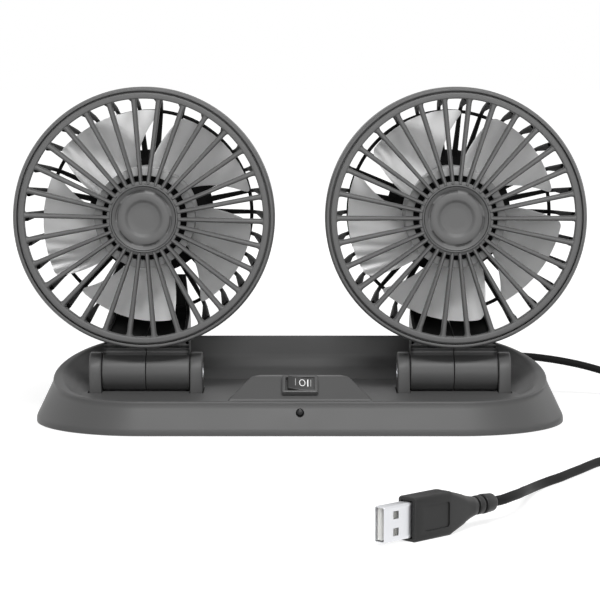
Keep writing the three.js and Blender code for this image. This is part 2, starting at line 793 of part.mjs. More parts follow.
// Grille ring, spokes and hub in one moulding. A spoke is a fin that narrows towards the hub.
function frontGrille() {
  const ring = turned([
    [grilleRadius, -grilleProud],
    [seamRadius - lipRound, -grilleProud],
    [seamRadius, -grilleProud / 2],
    [seamRadius, grilleDepth],
    [grilleRadius, grilleDepth],
  ], spokeCount, Math.PI / spokeCount);
  const hub = turned([
    [capRadius + gap, -grilleProud - lipRound / 2],
    [hubRadius - lipRound, -grilleProud - lipRound / 2],
    [hubRadius, -grilleProud + lipRound / 2],
    [hubRadius, grilleDepth],
    [0, grilleDepth],
    [0, grilleDepth - lipWidth / 2],
    [capRadius + gap, grilleDepth - lipWidth / 2],
  ], smallSteps);
  const inner = hubRadius - lipRound;
  const outer = grilleRadius + lipRound;
  const spokes = spokeAngles.map((angle) => {
    const shape = new THREE.Shape([
      new THREE.Vector2(inner, -spokeRoot / 2),
      new THREE.Vector2(outer, -spokeTip / 2),
      new THREE.Vector2(outer, spokeTip / 2),
      new THREE.Vector2(inner, spokeRoot / 2),
    ]);
    const depth = grilleDepth + grilleProud - lipRound;
    const fin = new THREE.ExtrudeGeometry(shape, { depth, bevelEnabled: false });
    return toSolid(fin.rotateX(-Math.PI / 2).translate(0, -grilleProud + lipRound / 2, 0).rotateY(-angle));
  });
  return join(ring, hub, ...spokes);
}

// A dished cap with a ring of short arc grooves and a shallow disc in its middle.
function hubCap() {
  const back = grilleDepth - lipWidth / 2 - gap;
  const edge = -grilleProud;
  const disc = turned([
    [0, edge + capDishDepth],
    [capDisc, edge + capDiscDepth],
    [capDisc + lipRound / 2, edge + capStepDepth],
    [capRadius - lipRound, edge],
    [capRadius, edge + lipRound],
    [capRadius, back],
    [0, back],
  ], smallSteps);
  const span = THREE.MathUtils.degToRad(capArcSpan);
  const arcSteps = 2;
  const first = THREE.MathUtils.degToRad(capArcTurn) - span / 2;
  const grooves = Array.from({ length: capArcCount }, (_, k) => {
    const start = first + (2 * Math.PI * k) / capArcCount;
    const arc = (radius) => Array.from({ length: arcSteps + 1 }, (_unused, i) => {
      const angle = start + (span * i) / arcSteps;
      return new THREE.Vector2(radius * Math.cos(angle), radius * Math.sin(angle));
    });
    const [inner, outer] = [capArcRadius - capArcWidth / 2, capArcRadius + capArcWidth / 2];
    const points = [...arc(outer), ...arc(inner).reverse()];
    const body = new THREE.ExtrudeGeometry(new THREE.Shape(points), {
      depth: capArcDepth + cut, bevelEnabled: false,
    });
    return toSolid(body.rotateX(Math.PI / 2).translate(0, edge + capArcDepth + lipRound / 2, 0));
  });
  return carve(disc, ...grooves);
}

// Arm, in the hinge's frame: a barrel, a neck under the rim, and a channel that follows the cage
// to its back disc, drawn as [y, z] in the plane between its halves.
const toArm = ([radius, depth]) => [depth - seamAhead, fanHeight - radius];

function armOutline(wall) {
  const outside = cageLine.slice(1, -1).map(toArm);
  const inside = innerLine(cageLine, wall).slice(0, -1).map(toArm).reverse();
  const end = fanHeight - backDisc - gap * 2;
  const lastOut = [cageDepth - seamAhead, end];
  const lastIn = [cageDepth - wall - seamAhead, end];
  const rimBack = rimDepth - seamAhead + gap;
  const rimUnder = fanHeight - headRadius - gap * 2;
  inside[inside.length - 1] = [rimBack, inside[inside.length - 1][1]];
  return [
    [barrelRadius * neckFootShare, 0],
    ...neckBackShares.map(([out, up]) => [barrelRadius * out, rimUnder * up]),
    ...outside,
    lastOut,
    lastIn,
    ...inside,
    [rimBack, rimUnder],
    [-barrelRadius * neckFrontShare, rimUnder],
    [-barrelRadius * neckFootShare, 0],
  ];
}

// Half width of the arm at a height over the hinge.
function armHalfAt(z) {
  const top = fanHeight - backDisc;
  return armHalfRim + ((armHalfTop - armHalfRim) * Math.max(z, 0)) / top;
}

// An arm outline between two shares of its half width, on one side of its middle.
function armSlab(outlinePoints, side, from, to) {
  const body = slab(outlinePoints, 0, 1);
  const place = body.attributes.position;
  for (let i = 0; i < place.count; i += 1) {
    const half = armHalfAt(place.getZ(i));
    const x = place.getX(i) > 0.5 ? to(half) : from(half);
    place.setX(i, side * x);
  }
  return toSolid(body);
}

function armHalf(side) {
  const middle = () => gap / 2;
  const channel = armSlab(armOutline(armWall), side, middle, (half) => half);
  const wall = armSlab(armOutline(armWall + armLip), side, (half) => half - armSide, (half) => half);
  const [from, to] = side > 0 ? [gap / 2, barrelHalfWidth] : [-barrelHalfWidth, -gap / 2];
  const barrel = crosswise(barrelRadius, from, to);
  const bore = crosswise(hingeScrewRadius + gap, from - cut, to + cut, boreSideCount);
  return carve(join(channel, wall, barrel), bore);
}

// The space that the arm takes in the cage, with its clearance, in the fan's frame.
function armEnvelope() {
  const deep = armWall + armLip + gap * 2;
  const outside = cageLine.slice(0, -1).map(toArm);
  const inside = innerLine(cageLine, deep).slice(0, -1).map(toArm).reverse();
  const end = fanHeight - backDisc - gap;
  const out = cageDepth - seamAhead + cut;
  const rimBack = rimDepth - seamAhead + gap / 2;
  inside[inside.length - 1] = [rimBack, inside[inside.length - 1][1]];
  const points = [
    [rimBack, outside[0][1] - rimWall],
    [out, outside[0][1] - rimWall],
    [out, end],
    [cageDepth - deep - seamAhead, end],
    ...inside,
  ];
  const halves = [-1, 1].map((side) => armSlab(points, side, () => 0, (half) => half + gap));
  return moved(join(...halves), 0, seamAhead, -fanHeight);
}

// Motor and fan wheel, in the fan's frame
const shaftEnd = cageDepth - shaftInset;
const bladeTip = cornerRadius - tipClearance;

function rotorCan() {
  return turned([
    [shaftRadius + gap, canFrontDepth],
    [canRadius - lipRound, canFrontDepth],
    [canRadius, canFrontDepth + lipRound],
    [canRadius, canBackDepth],
    [canRadius - canWall, canBackDepth],
    [canRadius - canWall, canFrontDepth + canWall],
    [canBossRadius, canFrontDepth + canWall],
    [canBossRadius, canFrontDepth + canWall + canBossLength],
    [shaftRadius + gap, canFrontDepth + canWall + canBossLength],
  ], barrelSideCount);
}

function motorShaft() {
  return turned([
    [0, canFrontDepth + gap],
    [shaftRadius, canFrontDepth + gap],
    [shaftRadius, shaftEnd],
    [0, shaftEnd],
  ], boreSideCount);
}

// Laminated stator: a core ring with teeth that widen into pole shoes.
function stator() {
  const shape = new THREE.Shape();
  const pitch = (2 * Math.PI) / statorSlots;
  const slot = pitch * statorSlotShare;
  const at = (radius, angle) => new THREE.Vector2(radius * Math.cos(angle), radius * Math.sin(angle));
  const points = [];
  for (let k = 0; k < statorSlots; k += 1) {
    const start = k * pitch;
    points.push(
      at(statorCore, start),
      at(statorCore, start + slot),
      at(statorRadius, start + slot / 2),
      at(statorRadius, start + (pitch + slot / 2) / 2),
      at(statorRadius, start + pitch),
    );
  }
  shape.setFromPoints(points);
  const bore = new THREE.Path();
  bore.absarc(0, 0, bearingRadius + gap, 0, 2 * Math.PI, true);
  shape.holes.push(bore);
  const body = new THREE.ExtrudeGeometry(shape, {
    depth: statorLength, bevelEnabled: false, curveSegments: boreSideCount,
  });
  return body.rotateX(Math.PI / 2).translate(0, statorFront + statorLength, 0);
}

// One blade: sections round the axis, each a thin cambered aerofoil from its deep edge to its front.
function blade(turn) {
  const rings = [];
  const innerRadius = wheelRadius - canWall / 2;
  const { degToRad, lerp } = THREE.MathUtils;
  for (let k = 0; k < bladeStations; k += 1) {
    const share = k / (bladeStations - 1);
    const radius = innerRadius + (bladeTip - innerRadius) * share;
    const start = turn + degToRad(lerp(bladeRootStart, bladeTipStart, share));
    const end = turn + degToRad(lerp(bladeRootEnd, bladeTipEnd, share));
    const deep = lerp(bladeRootDeep, bladeTipDeep, share);
    const chord = new THREE.Vector2(radius * (end - start), bladeFront - deep);
    const length = chord.length();
    const normal = new THREE.Vector2(-chord.y, chord.x).divideScalar(length);
    const section = (along, side) => {
      const bulge = 4 * along * (1 - along);
      const thick = bladeThickness * (bladeEdgeShare + (1 - bladeEdgeShare) * bulge);
      const off = bladeCamberShare * length * bulge + (side * thick) / 2;
      const arc = radius * start + chord.x * along + normal.x * off;
      const depth = deep + chord.y * along + normal.y * off;
      const angle = arc / radius;
      return new THREE.Vector3(radius * Math.cos(angle), depth, radius * Math.sin(angle));
    };
    const ring = [];
    for (let i = 0; i <= bladeChordSteps; i += 1) ring.push(section(i / bladeChordSteps, 1));
    for (let i = bladeChordSteps; i >= 0; i -= 1) ring.push(section(i / bladeChordSteps, -1));
    rings.push(ring);
  }
  return toSolid(loft(rings));
}

function fanWheel() {
  const inner = canRadius + gap;
  const hub = turned([
    [inner, wheelFrontDepth],
    [wheelRadius - lipRound, wheelFrontDepth],
    [wheelRadius, wheelFrontDepth + lipRound],
    [wheelRadius, wheelBackDepth],
    [inner, wheelBackDepth],
  ], wheelSteps);
  const blades = Array.from({ length: bladeCount }, (_, k) => blade((2 * Math.PI * k) / bladeCount));
  return join(hub, ...blades);
}

// Lead and plug

const cordRadius = cordDiameter / 2;
const layFlat = cordRadius + floorTouch;
const secondLayer = layFlat + coilPitch;

// A tube round a curve, with flat ends.
function tube(points, steps, sides) {
  const curve = new THREE.CatmullRomCurve3(points, false, 'centripetal');
  const shape = new THREE.Shape();
  for (let i = 0; i < sides; i += 1) {
    const angle = (2 * Math.PI * i) / sides;
    const [x, y] = [cordRadius * Math.cos(angle), cordRadius * Math.sin(angle)];
    if (i === 0) shape.moveTo(x, y);
    else shape.lineTo(x, y);
  }
  shape.closePath();
  return new THREE.ExtrudeGeometry(shape, { steps, bevelEnabled: false, extrudePath: curve });
}

// The coil's middle line: in along the floor, up a layer where it turns back, and out again on top.
function coilLine() {
  const turns = coilTurnsIn * 2 + coilTurnsClimb;
  const count = Math.round(turns * coilSteps);
  const least = coilRadius - coilTurnsIn * coilPitch;
  const points = [];
  for (let i = 0; i <= count; i += 1) {
    const turn = (turns * i) / count;
    const angle = -2 * Math.PI * turn;
    let radius = coilRadius - coilPitch * turn;
    let height = layFlat;
    if (turn > coilTurnsIn) {
      const climb = Math.min((turn - coilTurnsIn) / coilTurnsClimb, 1);
      radius = least - coilPitch * coilTuckShare * Math.sin(Math.PI * climb);
      height = THREE.MathUtils.lerp(layFlat, secondLayer, THREE.MathUtils.smoothstep(climb, 0, 1));
      if (climb === 1) radius = least + coilPitch * (turn - coilTurnsIn - coilTurnsClimb);
    }
    const [x, y] = [radius * Math.cos(angle), radius * Math.sin(angle)];
    points.push(new THREE.Vector3(coilX + x, coilY + y, height));
  }
  return points;
}

// Sections of the coil's tube stand square to its line, and both its ends run straight.
function coilTube() {
  const turnsLine = coilLine();
  const end = turnsLine.length - 1;
  const away = (from, to) => from.clone().sub(to).setZ(0).setLength(coilStraight).add(from);
  const line = [away(turnsLine[0], turnsLine[1]), ...turnsLine, away(turnsLine[end], turnsLine[end - 1])];
  const up = new THREE.Vector3(0, 0, 1);
  const rings = line.map((point, i) => {
    const ahead = line[Math.min(i + 1, line.length - 1)];
    const behind = line[Math.max(i - 1, 0)];
    const along = ahead.clone().sub(behind).normalize();
    const across = along.clone().cross(up).normalize();
    const rise = across.clone().cross(along);
    const ring = [];
    for (let k = 0; k < coilSideCount; k += 1) {
      const angle = (2 * Math.PI * (k + 0.5)) / coilSideCount;
      ring.push(point.clone()
        .addScaledVector(across, cordRadius * Math.cos(angle))
        .addScaledVector(rise, cordRadius * Math.sin(angle)));
    }
    return ring;
  });
  return { line, rings };
}

// Least gap of the coil to itself, over points of its middle line that are half a turn or more apart.
function coilGap(line) {
  let least = Infinity;
  for (let i = 0; i < line.length; i += 1) {
    for (let j = i + coilSteps / 2; j < line.length; j += 1) {
      least = Math.min(least, line[i].distanceTo(line[j]));
    }
  }
  return least - cordDiameter;
}

const coil = coilTube();
console.log(`least gap of the coil to itself: ${coilGap(coil.line).toFixed(2)} mm`);

const coilStart = coil.line[0];
const coilEnd = coil.line[coil.line.length - 1];

// The lead's free stretches, as points chosen by hand.
const leadRoute = [
  [95.4, 66.6, 19.8],
  [101.8, 71.6, 19.7],
  [110, 74.7, 19.1],
  [119, 75.6, 18],
  [128, 75, 16.6],
  [137, 73.6, 14.8],
  [146.5, 71.4, 12.3],
  [157, 68.4, 9],
  [168, 64.2, 5.6],
  [177.6, 58, 3.2],
  [185.4, 49.3, 2.1],
  [190.6, 39, 1.8],
  [193.6, 28, 1.8],
].map(([x, y, z]) => new THREE.Vector3(x, y, z));
const tailRoute = [
  [194.6, -6, 5.4],
  [193.2, -20, 4.2],
  [189.6, -35, 2.9],
  [184, -48, 2],
  [176.5, -60, 1.8],
  [166.5, -71.5, 1.8],
  [155.5, -82.5, 1.8],
  [144.5, -93, 1.8],
  [134, -103.3, 1.8],
  [125, -113.2, 1.8],
  [117.2, -122.7, 1.8],
  [113.3, -129.5, 1.8],
  [108.5, -138.4, 1.8],
  [103.5, -147.1, 1.8],
  [98.7, -155.7, 1.8],
  [94.2, -162.6, 1.8],
  [89.6, -169.4, 1.8],
  [84.9, -178.8, 2.2],
  [80.1, -192.5, 3.4],
  [76.3, -206.5, 5],
  [73.6, -216.6, 6.4],
].map(([x, y, z]) => new THREE.Vector3(x, y, z));

const stepShare = 3; // length of a tube's step to its diameter
const cordSideCount = 8;

function stretch(name, points) {
  const length = new THREE.CatmullRomCurve3(points, false, 'centripetal').getLength();
  return piece(name, tube(points, Math.ceil(length / (cordDiameter * stepShare)), cordSideCount), 'cable');
}

function lead() {
  const start = reliefFrame.localToWorld(new THREE.Vector3(0, reliefLength + gap, 0));
  const next = reliefFrame.localToWorld(new THREE.Vector3(0, reliefLength + gap + leadStraight, 0));
  const near = coilStart.clone().add(new THREE.Vector3(0, gap, 0));
  const before = near.clone().add(new THREE.Vector3(0, cordDiameter, 0));
  return stretch('cable_lead', [start, next, ...leadRoute, before, near]);
}

// Plug, in a frame at the grip's front end: X runs back along the plug, Z is up
const plugFrame = new THREE.Group();
const plugHeight = gripHeight / 2;
plugFrame.position.set(plugX, plugY, plugHeight);
plugFrame.rotation.z = THREE.MathUtils.degToRad(plugTurn);
plugFrame.updateMatrixWorld(true);
const plugEnd = gripLength + gripTaper + plugReliefLength;

function tail() {
  const direction = new THREE.Vector3(1, 0, 0).applyEuler(plugFrame.rotation);
  const start = plugFrame.localToWorld(new THREE.Vector3(plugEnd + gap, 0, 0));
  const next = start.clone().addScaledVector(direction, cordDiameter);
  const near = coilEnd.clone().add(new THREE.Vector3(0, -gap, 0));
  const after = near.clone().add(new THREE.Vector3(0, -cordDiameter, 0));
  return stretch('cable_tail', [near, after, ...tailRoute, next, start]);
}

function cableRelief() {
  const section = [
    [0, -baseWall],
    [reliefRoot, -baseWall],
    [reliefRoot, reliefSeat],
    [reliefFlange, reliefSeat],
    [reliefFlange - lipRound / 2, reliefSeat + reliefFlangeThickness],
    [reliefRoot, reliefSeat + reliefFlangeThickness],
    [reliefTip, reliefLength],
    [0, reliefLength],
  ];
  return turned(section, boreSideCount);
}

// A rectangle with cut corners, across the plug.
function plugRing(x, thickness, height, corner) {
  const [t, h] = [thickness / 2, height / 2];
  const points = [[t - corner, -h], [t, -h + corner], [t, h - corner], [t - corner, h],
    [-t + corner, h], [-t, h - corner], [-t, -h + corner], [-t + corner, -h]];
  return points.map(([y, z]) => new THREE.Vector3(x, y, z));
}

function plugGrip() {
  const end = gripLength + gripTaper;
  const [thin, low] = gripTaperShares;
  const grip = toSolid(loft([
    plugRing(0, gripThickness - gripCorner, gripHeight - gripCorner, gripCorner),
    plugRing(gripCorner / 2, gripThickness, gripHeight, gripCorner),
    plugRing(gripLength, gripThickness, gripHeight, gripCorner),
    plugRing(gripLength + gripTaper / 2, gripThickness * thin, gripHeight * low, gripCorner),
    plugRing(end, gripNeck * gripEndShares[0], gripNeck * gripEndShares[1], gripCorner),
  ]));
  const neck = [[0, end - gripCorner], [plugReliefCore, end - gripCorner]];
  const ringPitch = plugReliefLength / (plugReliefRings + 1);
  for (let k = 0; k < plugReliefRings; k += 1) {
    const at = end + ringPitch * (k + plugReliefShare);
    neck.push([plugReliefCore, at], [plugReliefRadius, at + lipRound / 2],
      [plugReliefRadius, at + plugReliefRing - lipRound / 2], [plugReliefCore, at + plugReliefRing]);
  }
  neck.push([plugReliefCore, plugEnd], [0, plugEnd]);
  const relief = placed(turned(neck, boreSideCount), new THREE.Matrix4().makeRotationZ(-Math.PI / 2));
  const pocket = block(
    [-cut, -shellHeight / 2 - gap, -shellWidth / 2 - gap],
    [shellIn + gap, shellHeight / 2 + gap, shellWidth / 2 + gap],
  );
  const panelX = gripLength - gripPanelLength - gripCorner;
  const panels = [-1, 1].map((side) => {
    const face = side * (gripThickness / 2);
    const [near, far] = side > 0 ? [face - gripPanelDepth, face + cut] : [face - cut, face + gripPanelDepth];
    return block([panelX, near, -gripPanelHeight / 2], [panelX + gripPanelLength, far, gripPanelHeight / 2]);
  });
  return carve(join(grip, relief), pocket, ...panels);
}

function plugShell() {
  const [t, h] = [shellHeight / 2, shellWidth / 2];
  const tubeBody = carve(
    block([-shellOut, -t, -h], [shellIn, t, h]),
    block([-shellOut - cut, -t + shellWall, -h + shellWall], [shellIn + cut, t - shellWall, h - shellWall]),
  );
  const holes = [-1, 1].map((side) => {
    const z = (side * shellHoleApart) / 2;
    const x = -shellOut + shellHoleBack;
    return block(
      [x - shellHole / 2, -t - cut, z - shellHole / 2],
      [x + shellHole / 2, t + cut, z + shellHole / 2],
    );
  });
  return carve(tubeBody, ...holes);
}

// The insulator lies against one broad side of the shell.
function plugTongue() {
  const side = shellHeight / 2 - shellWall - gap;
  const half = shellWidth / 2 - shellWall - gap;
  return block([-shellOut + tongueShort, side - tongueThickness, -half], [shellIn, side, half]);
}

// Assembly

const fan = new THREE.Group();

const base = new THREE.Group();
base.add(piece('base_top_shell', topShell(), 'grey'));
base.add(piece('base_bottom_cover', bottomCover(), 'grey'));
footPlaces.forEach((place, i) => base.add(piece(`rubber_foot_${i + 1}`, foot(place), 'rubber')));
screwPlaces.forEach((place, i) => base.add(piece(`cover_screw_${i + 1}`, coverScrew(place), 'steel')));
base.add(piece('control_board', block(
  [-boardWidth / 2, boardY - boardDepth / 2, coverTop + postHeight + gap],
  [boardWidth / 2, boardY + boardDepth / 2, coverTop + postHeight + gap + boardThickness],
), 'board'));
const lamp = new THREE.CylinderGeometry(lampRadius, lampRadius, lampLength, knobSideCount);
base.add(piece('indicator_lamp', lamp.translate(0, lampY, lampHeight), 'lamp'));
reliefFrame.add(piece('cable_strain_relief', cableRelief(), 'cable'));
base.add(reliefFrame);
base.add(lead());
base.add(piece('cable_coil', loft(coil.rings), 'cable'));
base.add(tail());
fan.add(base);

plugFrame.add(piece('plug_grip', plugGrip(), 'cable'));
plugFrame.add(piece('plug_shell', plugShell(), 'steel'));
plugFrame.add(piece('plug_tongue', plugTongue(), 'tongue'));
fan.add(plugFrame);

const panel = switchFrame();
panel.add(piece('switch_housing', switchHousing(), 'dark'));
const rocker = piece('switch_rocker', rockerBody(), 'dark');
rocker.position.z = -pivotDrop;
rocker.rotation.y = THREE.MathUtils.degToRad(rockAngle);
panel.add(rocker);
fan.add(panel);

for (const x of hingeXs) {
  const name = x < 0 ? 'left' : 'right';
  fan.add(piece(`${name}_hinge_ear_outer`, ear(x, Math.sign(x)), 'grey'));
  fan.add(piece(`${name}_hinge_ear_inner`, ear(x, -Math.sign(x)), 'grey'));
  fan.add(piece(`${name}_hinge_screw`, hingeScrew(x), 'steel'));
  fan.add(piece(`${name}_hinge_nut`, hingeNut(x), 'steel'));

  const head = new THREE.Group();
  head.position.set(x, hingeY, hingeHeight);
  head.add(piece(`${name}_arm_half_outer`, armHalf(Math.sign(x)), 'grey'));
  head.add(piece(`${name}_arm_half_inner`, armHalf(-Math.sign(x)), 'grey'));

  const axis = new THREE.Group();
  axis.position.set(0, -seamAhead, fanHeight);
  axis.add(piece(`${name}_head_rim`, headRim(), 'grey'));
  axis.add(piece(`${name}_rear_cage`, rearCage(), 'dark'));
  axis.add(piece(`${name}_front_grille`, frontGrille(), 'grey'));
  axis.add(piece(`${name}_hub_cap`, hubCap(), 'grey'));
  axis.add(piece(`${name}_motor_stator`, stator(), 'copper'));
  axis.add(piece(`${name}_rotor_can`, rotorCan(), 'dark'));
  axis.add(piece(`${name}_motor_shaft`, motorShaft(), 'steel'));
  axis.add(piece(`${name}_fan_wheel`, fanWheel(), 'blade'));
  head.add(axis);
  fan.add(head);
}

export default fan;
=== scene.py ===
"""Dual head car fan: its looks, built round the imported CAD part.

Metres. X is to the right, Y to the back, Z up, and the origin is under the middle of the base.
"""
import json
from math import acos, cos, hypot, pi, radians, sin, sqrt, tan

import bmesh
import bpy
import numpy as np
from mathutils import Matrix, Vector


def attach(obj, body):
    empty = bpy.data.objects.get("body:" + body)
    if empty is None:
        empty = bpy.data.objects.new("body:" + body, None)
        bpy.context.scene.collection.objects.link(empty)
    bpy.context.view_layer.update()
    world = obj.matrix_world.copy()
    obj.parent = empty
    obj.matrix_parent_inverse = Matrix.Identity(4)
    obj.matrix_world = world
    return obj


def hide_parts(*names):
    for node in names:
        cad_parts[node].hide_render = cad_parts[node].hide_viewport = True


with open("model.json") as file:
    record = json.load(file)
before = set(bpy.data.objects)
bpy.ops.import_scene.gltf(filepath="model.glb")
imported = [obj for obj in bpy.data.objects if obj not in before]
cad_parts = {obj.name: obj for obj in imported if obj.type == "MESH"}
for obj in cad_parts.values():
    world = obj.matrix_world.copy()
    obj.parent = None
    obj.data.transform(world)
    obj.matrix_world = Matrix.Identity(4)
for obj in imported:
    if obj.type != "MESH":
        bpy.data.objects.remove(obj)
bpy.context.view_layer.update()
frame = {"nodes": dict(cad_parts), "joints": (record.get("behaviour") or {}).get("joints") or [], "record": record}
joints = {joint["name"]: joint for joint in frame["joints"]}
sides = {"left": -1, "right": 1}


# Camera: level with the tops of the fans, a little over the base, as in the photograph

camera_height = 0.1519
camera_distance = 0.9823  # from the middle of the base
camera_tilt = radians(5.695)
sensor_mm, lens_mm = 36, 132.36
nearest, farthest = 0.05, 100
camera_data = bpy.data.cameras.new("camera")
camera_data.sensor_width, camera_data.lens = sensor_mm, lens_mm
camera_data.clip_start, camera_data.clip_end = nearest, farthest
camera = bpy.data.objects.new("camera", camera_data)
camera.location = (0, -camera_distance, camera_height)
camera.rotation_euler = (pi / 2 - camera_tilt, 0, 0)
bpy.context.collection.objects.link(camera)
bpy.context.scene.camera = camera


# Outline of the base: a long, low moulding of grey plastic that stands on four rubber feet.
# Two half circles are joined by straight sides, and the rim rises to the back.

half_pitch = 0.0685  # from the middle to each fan's axis
end_radius = 0.0495
band_top = 0.0026
foot_gap = 0.0003  # the base's edge over the floor
tray_floor = 0.0139
front_rim, back_rim = 0.0146, 0.033  # heights
front_inset, end_inset, back_inset = 0.005, 0.0075, 0.006
rim_power = 1.65


def rim_inset(sine):
    """How far the rim stands in from the bottom edge; sine is 1 at the back and -1 at the front."""
    side = front_inset if sine < 0 else back_inset
    return end_inset + (side - end_inset) * sine * sine


def rim_height(sine):
    """Height of the rim, which rises to the back along a power curve."""
    y = (end_radius - rim_inset(sine)) * sine
    share = (y + end_radius - front_inset) / (2 * end_radius - front_inset - back_inset)
    return front_rim + (back_rim - front_rim) * min(max(share, 0), 1) ** rim_power


def wall_inset(sine, height):
    """How far the outer wall stands in from the bottom edge at a height."""
    return rim_inset(sine) * (height - band_top) / (rim_height(sine) - band_top)


# Cord: one length of soft black PVC cable, from the strain relief round the coil and out to the plug.
# It is a round tube carried along a smooth curve, and lies on the floor by its own weight.

hair = 0.0003  # gap between pieces that touch
cord_radius = 0.00175
cord_rest = 0.0018  # height of its middle where it lies flat
cord_step = 0.003
cord_run = 0.0038  # straight run on each side of the coil
relief_turn = radians(69)  # place of the strain relief round the right end of the base
relief_height, relief_length, relief_run = 0.0195, 0.014, 0.005
plug_corner = (0.0352, -0.2643, 0.0075)  # front end of the plug's grip, on its axis
plug_turn = radians(44.5)
plug_length, plug_run = 0.0445, 0.0035  # of grip, taper and relief, and the straight cord behind them
coil_middle = (0.1685, 0.010)
coil_radius, coil_pitch = 0.0262, 0.00405
coil_in, coil_climb = 2.75, 0.5  # turns inwards, and turns that climb to the upper layer
coil_tuck_share = 0.25
coil_straight = 0.0035

relief_out = np.array([cos(relief_turn), sin(relief_turn), 0])
relief_root = np.array([half_pitch, 0, relief_height])
relief_root += relief_out * (end_radius - wall_inset(sin(relief_turn), relief_height))
plug_back = np.array([cos(plug_turn), sin(plug_turn), 0])
plug_end = np.array(plug_corner) + plug_back * (plug_length + hair)


sharp_angle = 35  # degrees between faces over which an edge stays sharp
same_point, no_area = 2e-7, 1e-8

# The grain is a slow change of tone and a fine bump
slow_noise = {"Scale": 38, "Detail": 3}
fine_noise = {"Detail": 4, "Roughness": 0.6}
slow_share = 0.65  # of the slow noise in the tone; the rest is the fine one's
bump_strength = 0.5


def maths(tree, operation, *inputs):
    """The result of a Math node fed with numbers or with the outputs of other nodes."""
    node = tree.nodes.new("ShaderNodeMath")
    node.operation = operation
    for socket, given in zip(node.inputs, inputs):
        if isinstance(given, (int, float)):
            socket.default_value = given
        else:
            tree.links.new(given, socket)
    return node.outputs[0]


def grain_group():
    """Grain of a moulded surface: changes a colour and a roughness a little, and gives a bump."""
    group = bpy.data.node_groups.new("moulded_grain", "ShaderNodeTree")
    number, colour = "NodeSocketFloat", "NodeSocketColor"
    for name, kind in (("Colour", colour), ("Tone", number), ("Roughness", number), ("Variation", number),
                       ("Grain scale", number), ("Grain depth", number)):
        group.interface.new_socket(name, in_out="INPUT", socket_type=kind)
    for name, kind in (("Colour", colour), ("Roughness", number), ("Normal", "NodeSocketVector")):
        group.interface.new_socket(name, in_out="OUTPUT", socket_type=kind)
    node, link = group.nodes.new, group.links.new
    given, out, place = node("NodeGroupInput"), node("NodeGroupOutput"), node("ShaderNodeTexCoord")
    slow, fine = node("ShaderNodeTexNoise"), node("ShaderNodeTexNoise")
    for noise, settings in ((slow, slow_noise), (fine, fine_noise)):
        link(place.outputs["Object"], noise.inputs["Vector"])
        for name, value in settings.items():
            noise.inputs[name].default_value = value
    link(given.outputs["Grain scale"], fine.inputs["Scale"])
    weighed = maths(group, "MULTIPLY", slow.outputs["Fac"], slow_share)
    mixed = maths(group, "MULTIPLY_ADD", fine.outputs["Fac"], 1 - slow_share, weighed)
    centred = maths(group, "SUBTRACT", mixed, 0.5)
    shade = node("ShaderNodeVectorMath")
    shade.operation = "SCALE"
    link(given.outputs["Colour"], shade.inputs[0])
    link(maths(group, "MULTIPLY_ADD", centred, given.outputs["Tone"], 1), shade.inputs["Scale"])
    link(shade.outputs[0], out.inputs["Colour"])
    rough = maths(group, "MULTIPLY_ADD", centred, given.outputs["Variation"], given.outputs["Roughness"])
    rough.node.use_clamp = True
    link(rough, out.inputs["Roughness"])
    bump = node("ShaderNodeBump")
    bump.inputs["Strength"].default_value = bump_strength
    link(given.outputs["Grain depth"], bump.inputs["Distance"])
    link(fine.outputs["Fac"], bump.inputs["Height"])
    link(bump.outputs["Normal"], out.inputs["Normal"])
    return group


moulded_grain = grain_group()


def linear(code):
    """A colour written as six hexadecimal digits, as the shader takes it."""
    parts = [int(code[i:i + 2], 16) / 255 for i in (0, 2, 4)]
    return [c / 12.92 if c <= 0.04045 else ((c + 0.055) / 1.055) ** 2.4 for c in parts]


def finish_of(name, colour, roughness, metal=0.0, tone=0.25, variation=0.2, scale=2600, depth=0.00002,
              specular=0.5, coat=0.0):
    """A material with the moulded grain."""
    paint = bpy.data.materials.new(name)
    paint.use_nodes = True
    tree = paint.node_tree
    shader = tree.nodes["Principled BSDF"]
    grain = tree.nodes.new("ShaderNodeGroup")
    grain.node_tree = moulded_grain
    shade = (*linear(colour), 1)
    for socket, value in (("Colour", shade), ("Tone", tone), ("Roughness", roughness),
                          ("Variation", variation), ("Grain scale", scale), ("Grain depth", depth)):
        grain.inputs[socket].default_value = value
    for out, into in (("Colour", "Base Color"), ("Roughness", "Roughness"), ("Normal", "Normal")):
        tree.links.new(grain.outputs[out], shader.inputs[into])
    for socket, value in (("Metallic", metal), ("Specular IOR Level", specular), ("Coat Weight", coat)):
        shader.inputs[socket].default_value = value
    paint.diffuse_color = shade
    return paint


# Painted shade: the cord is the same PVC as the grip and reliefs, painted darker because its round top catches
# more of the light.
cord_pvc = finish_of("cord_pvc", "151515", 0.62, scale=1400, specular=0.1)


def grid_faces(rows, columns, wrap_rows=False, wrap_columns=True):
    """Four-sided faces over rows of points, numbered row by row."""
    faces = []
    for r in range(rows if wrap_rows else rows - 1):
        for c in range(columns if wrap_columns else columns - 1):
            r2, c2 = (r + 1) % rows, (c + 1) % columns
            faces.append((r * columns + c, r * columns + c2, r2 * columns + c2, r2 * columns + c))
    return faces


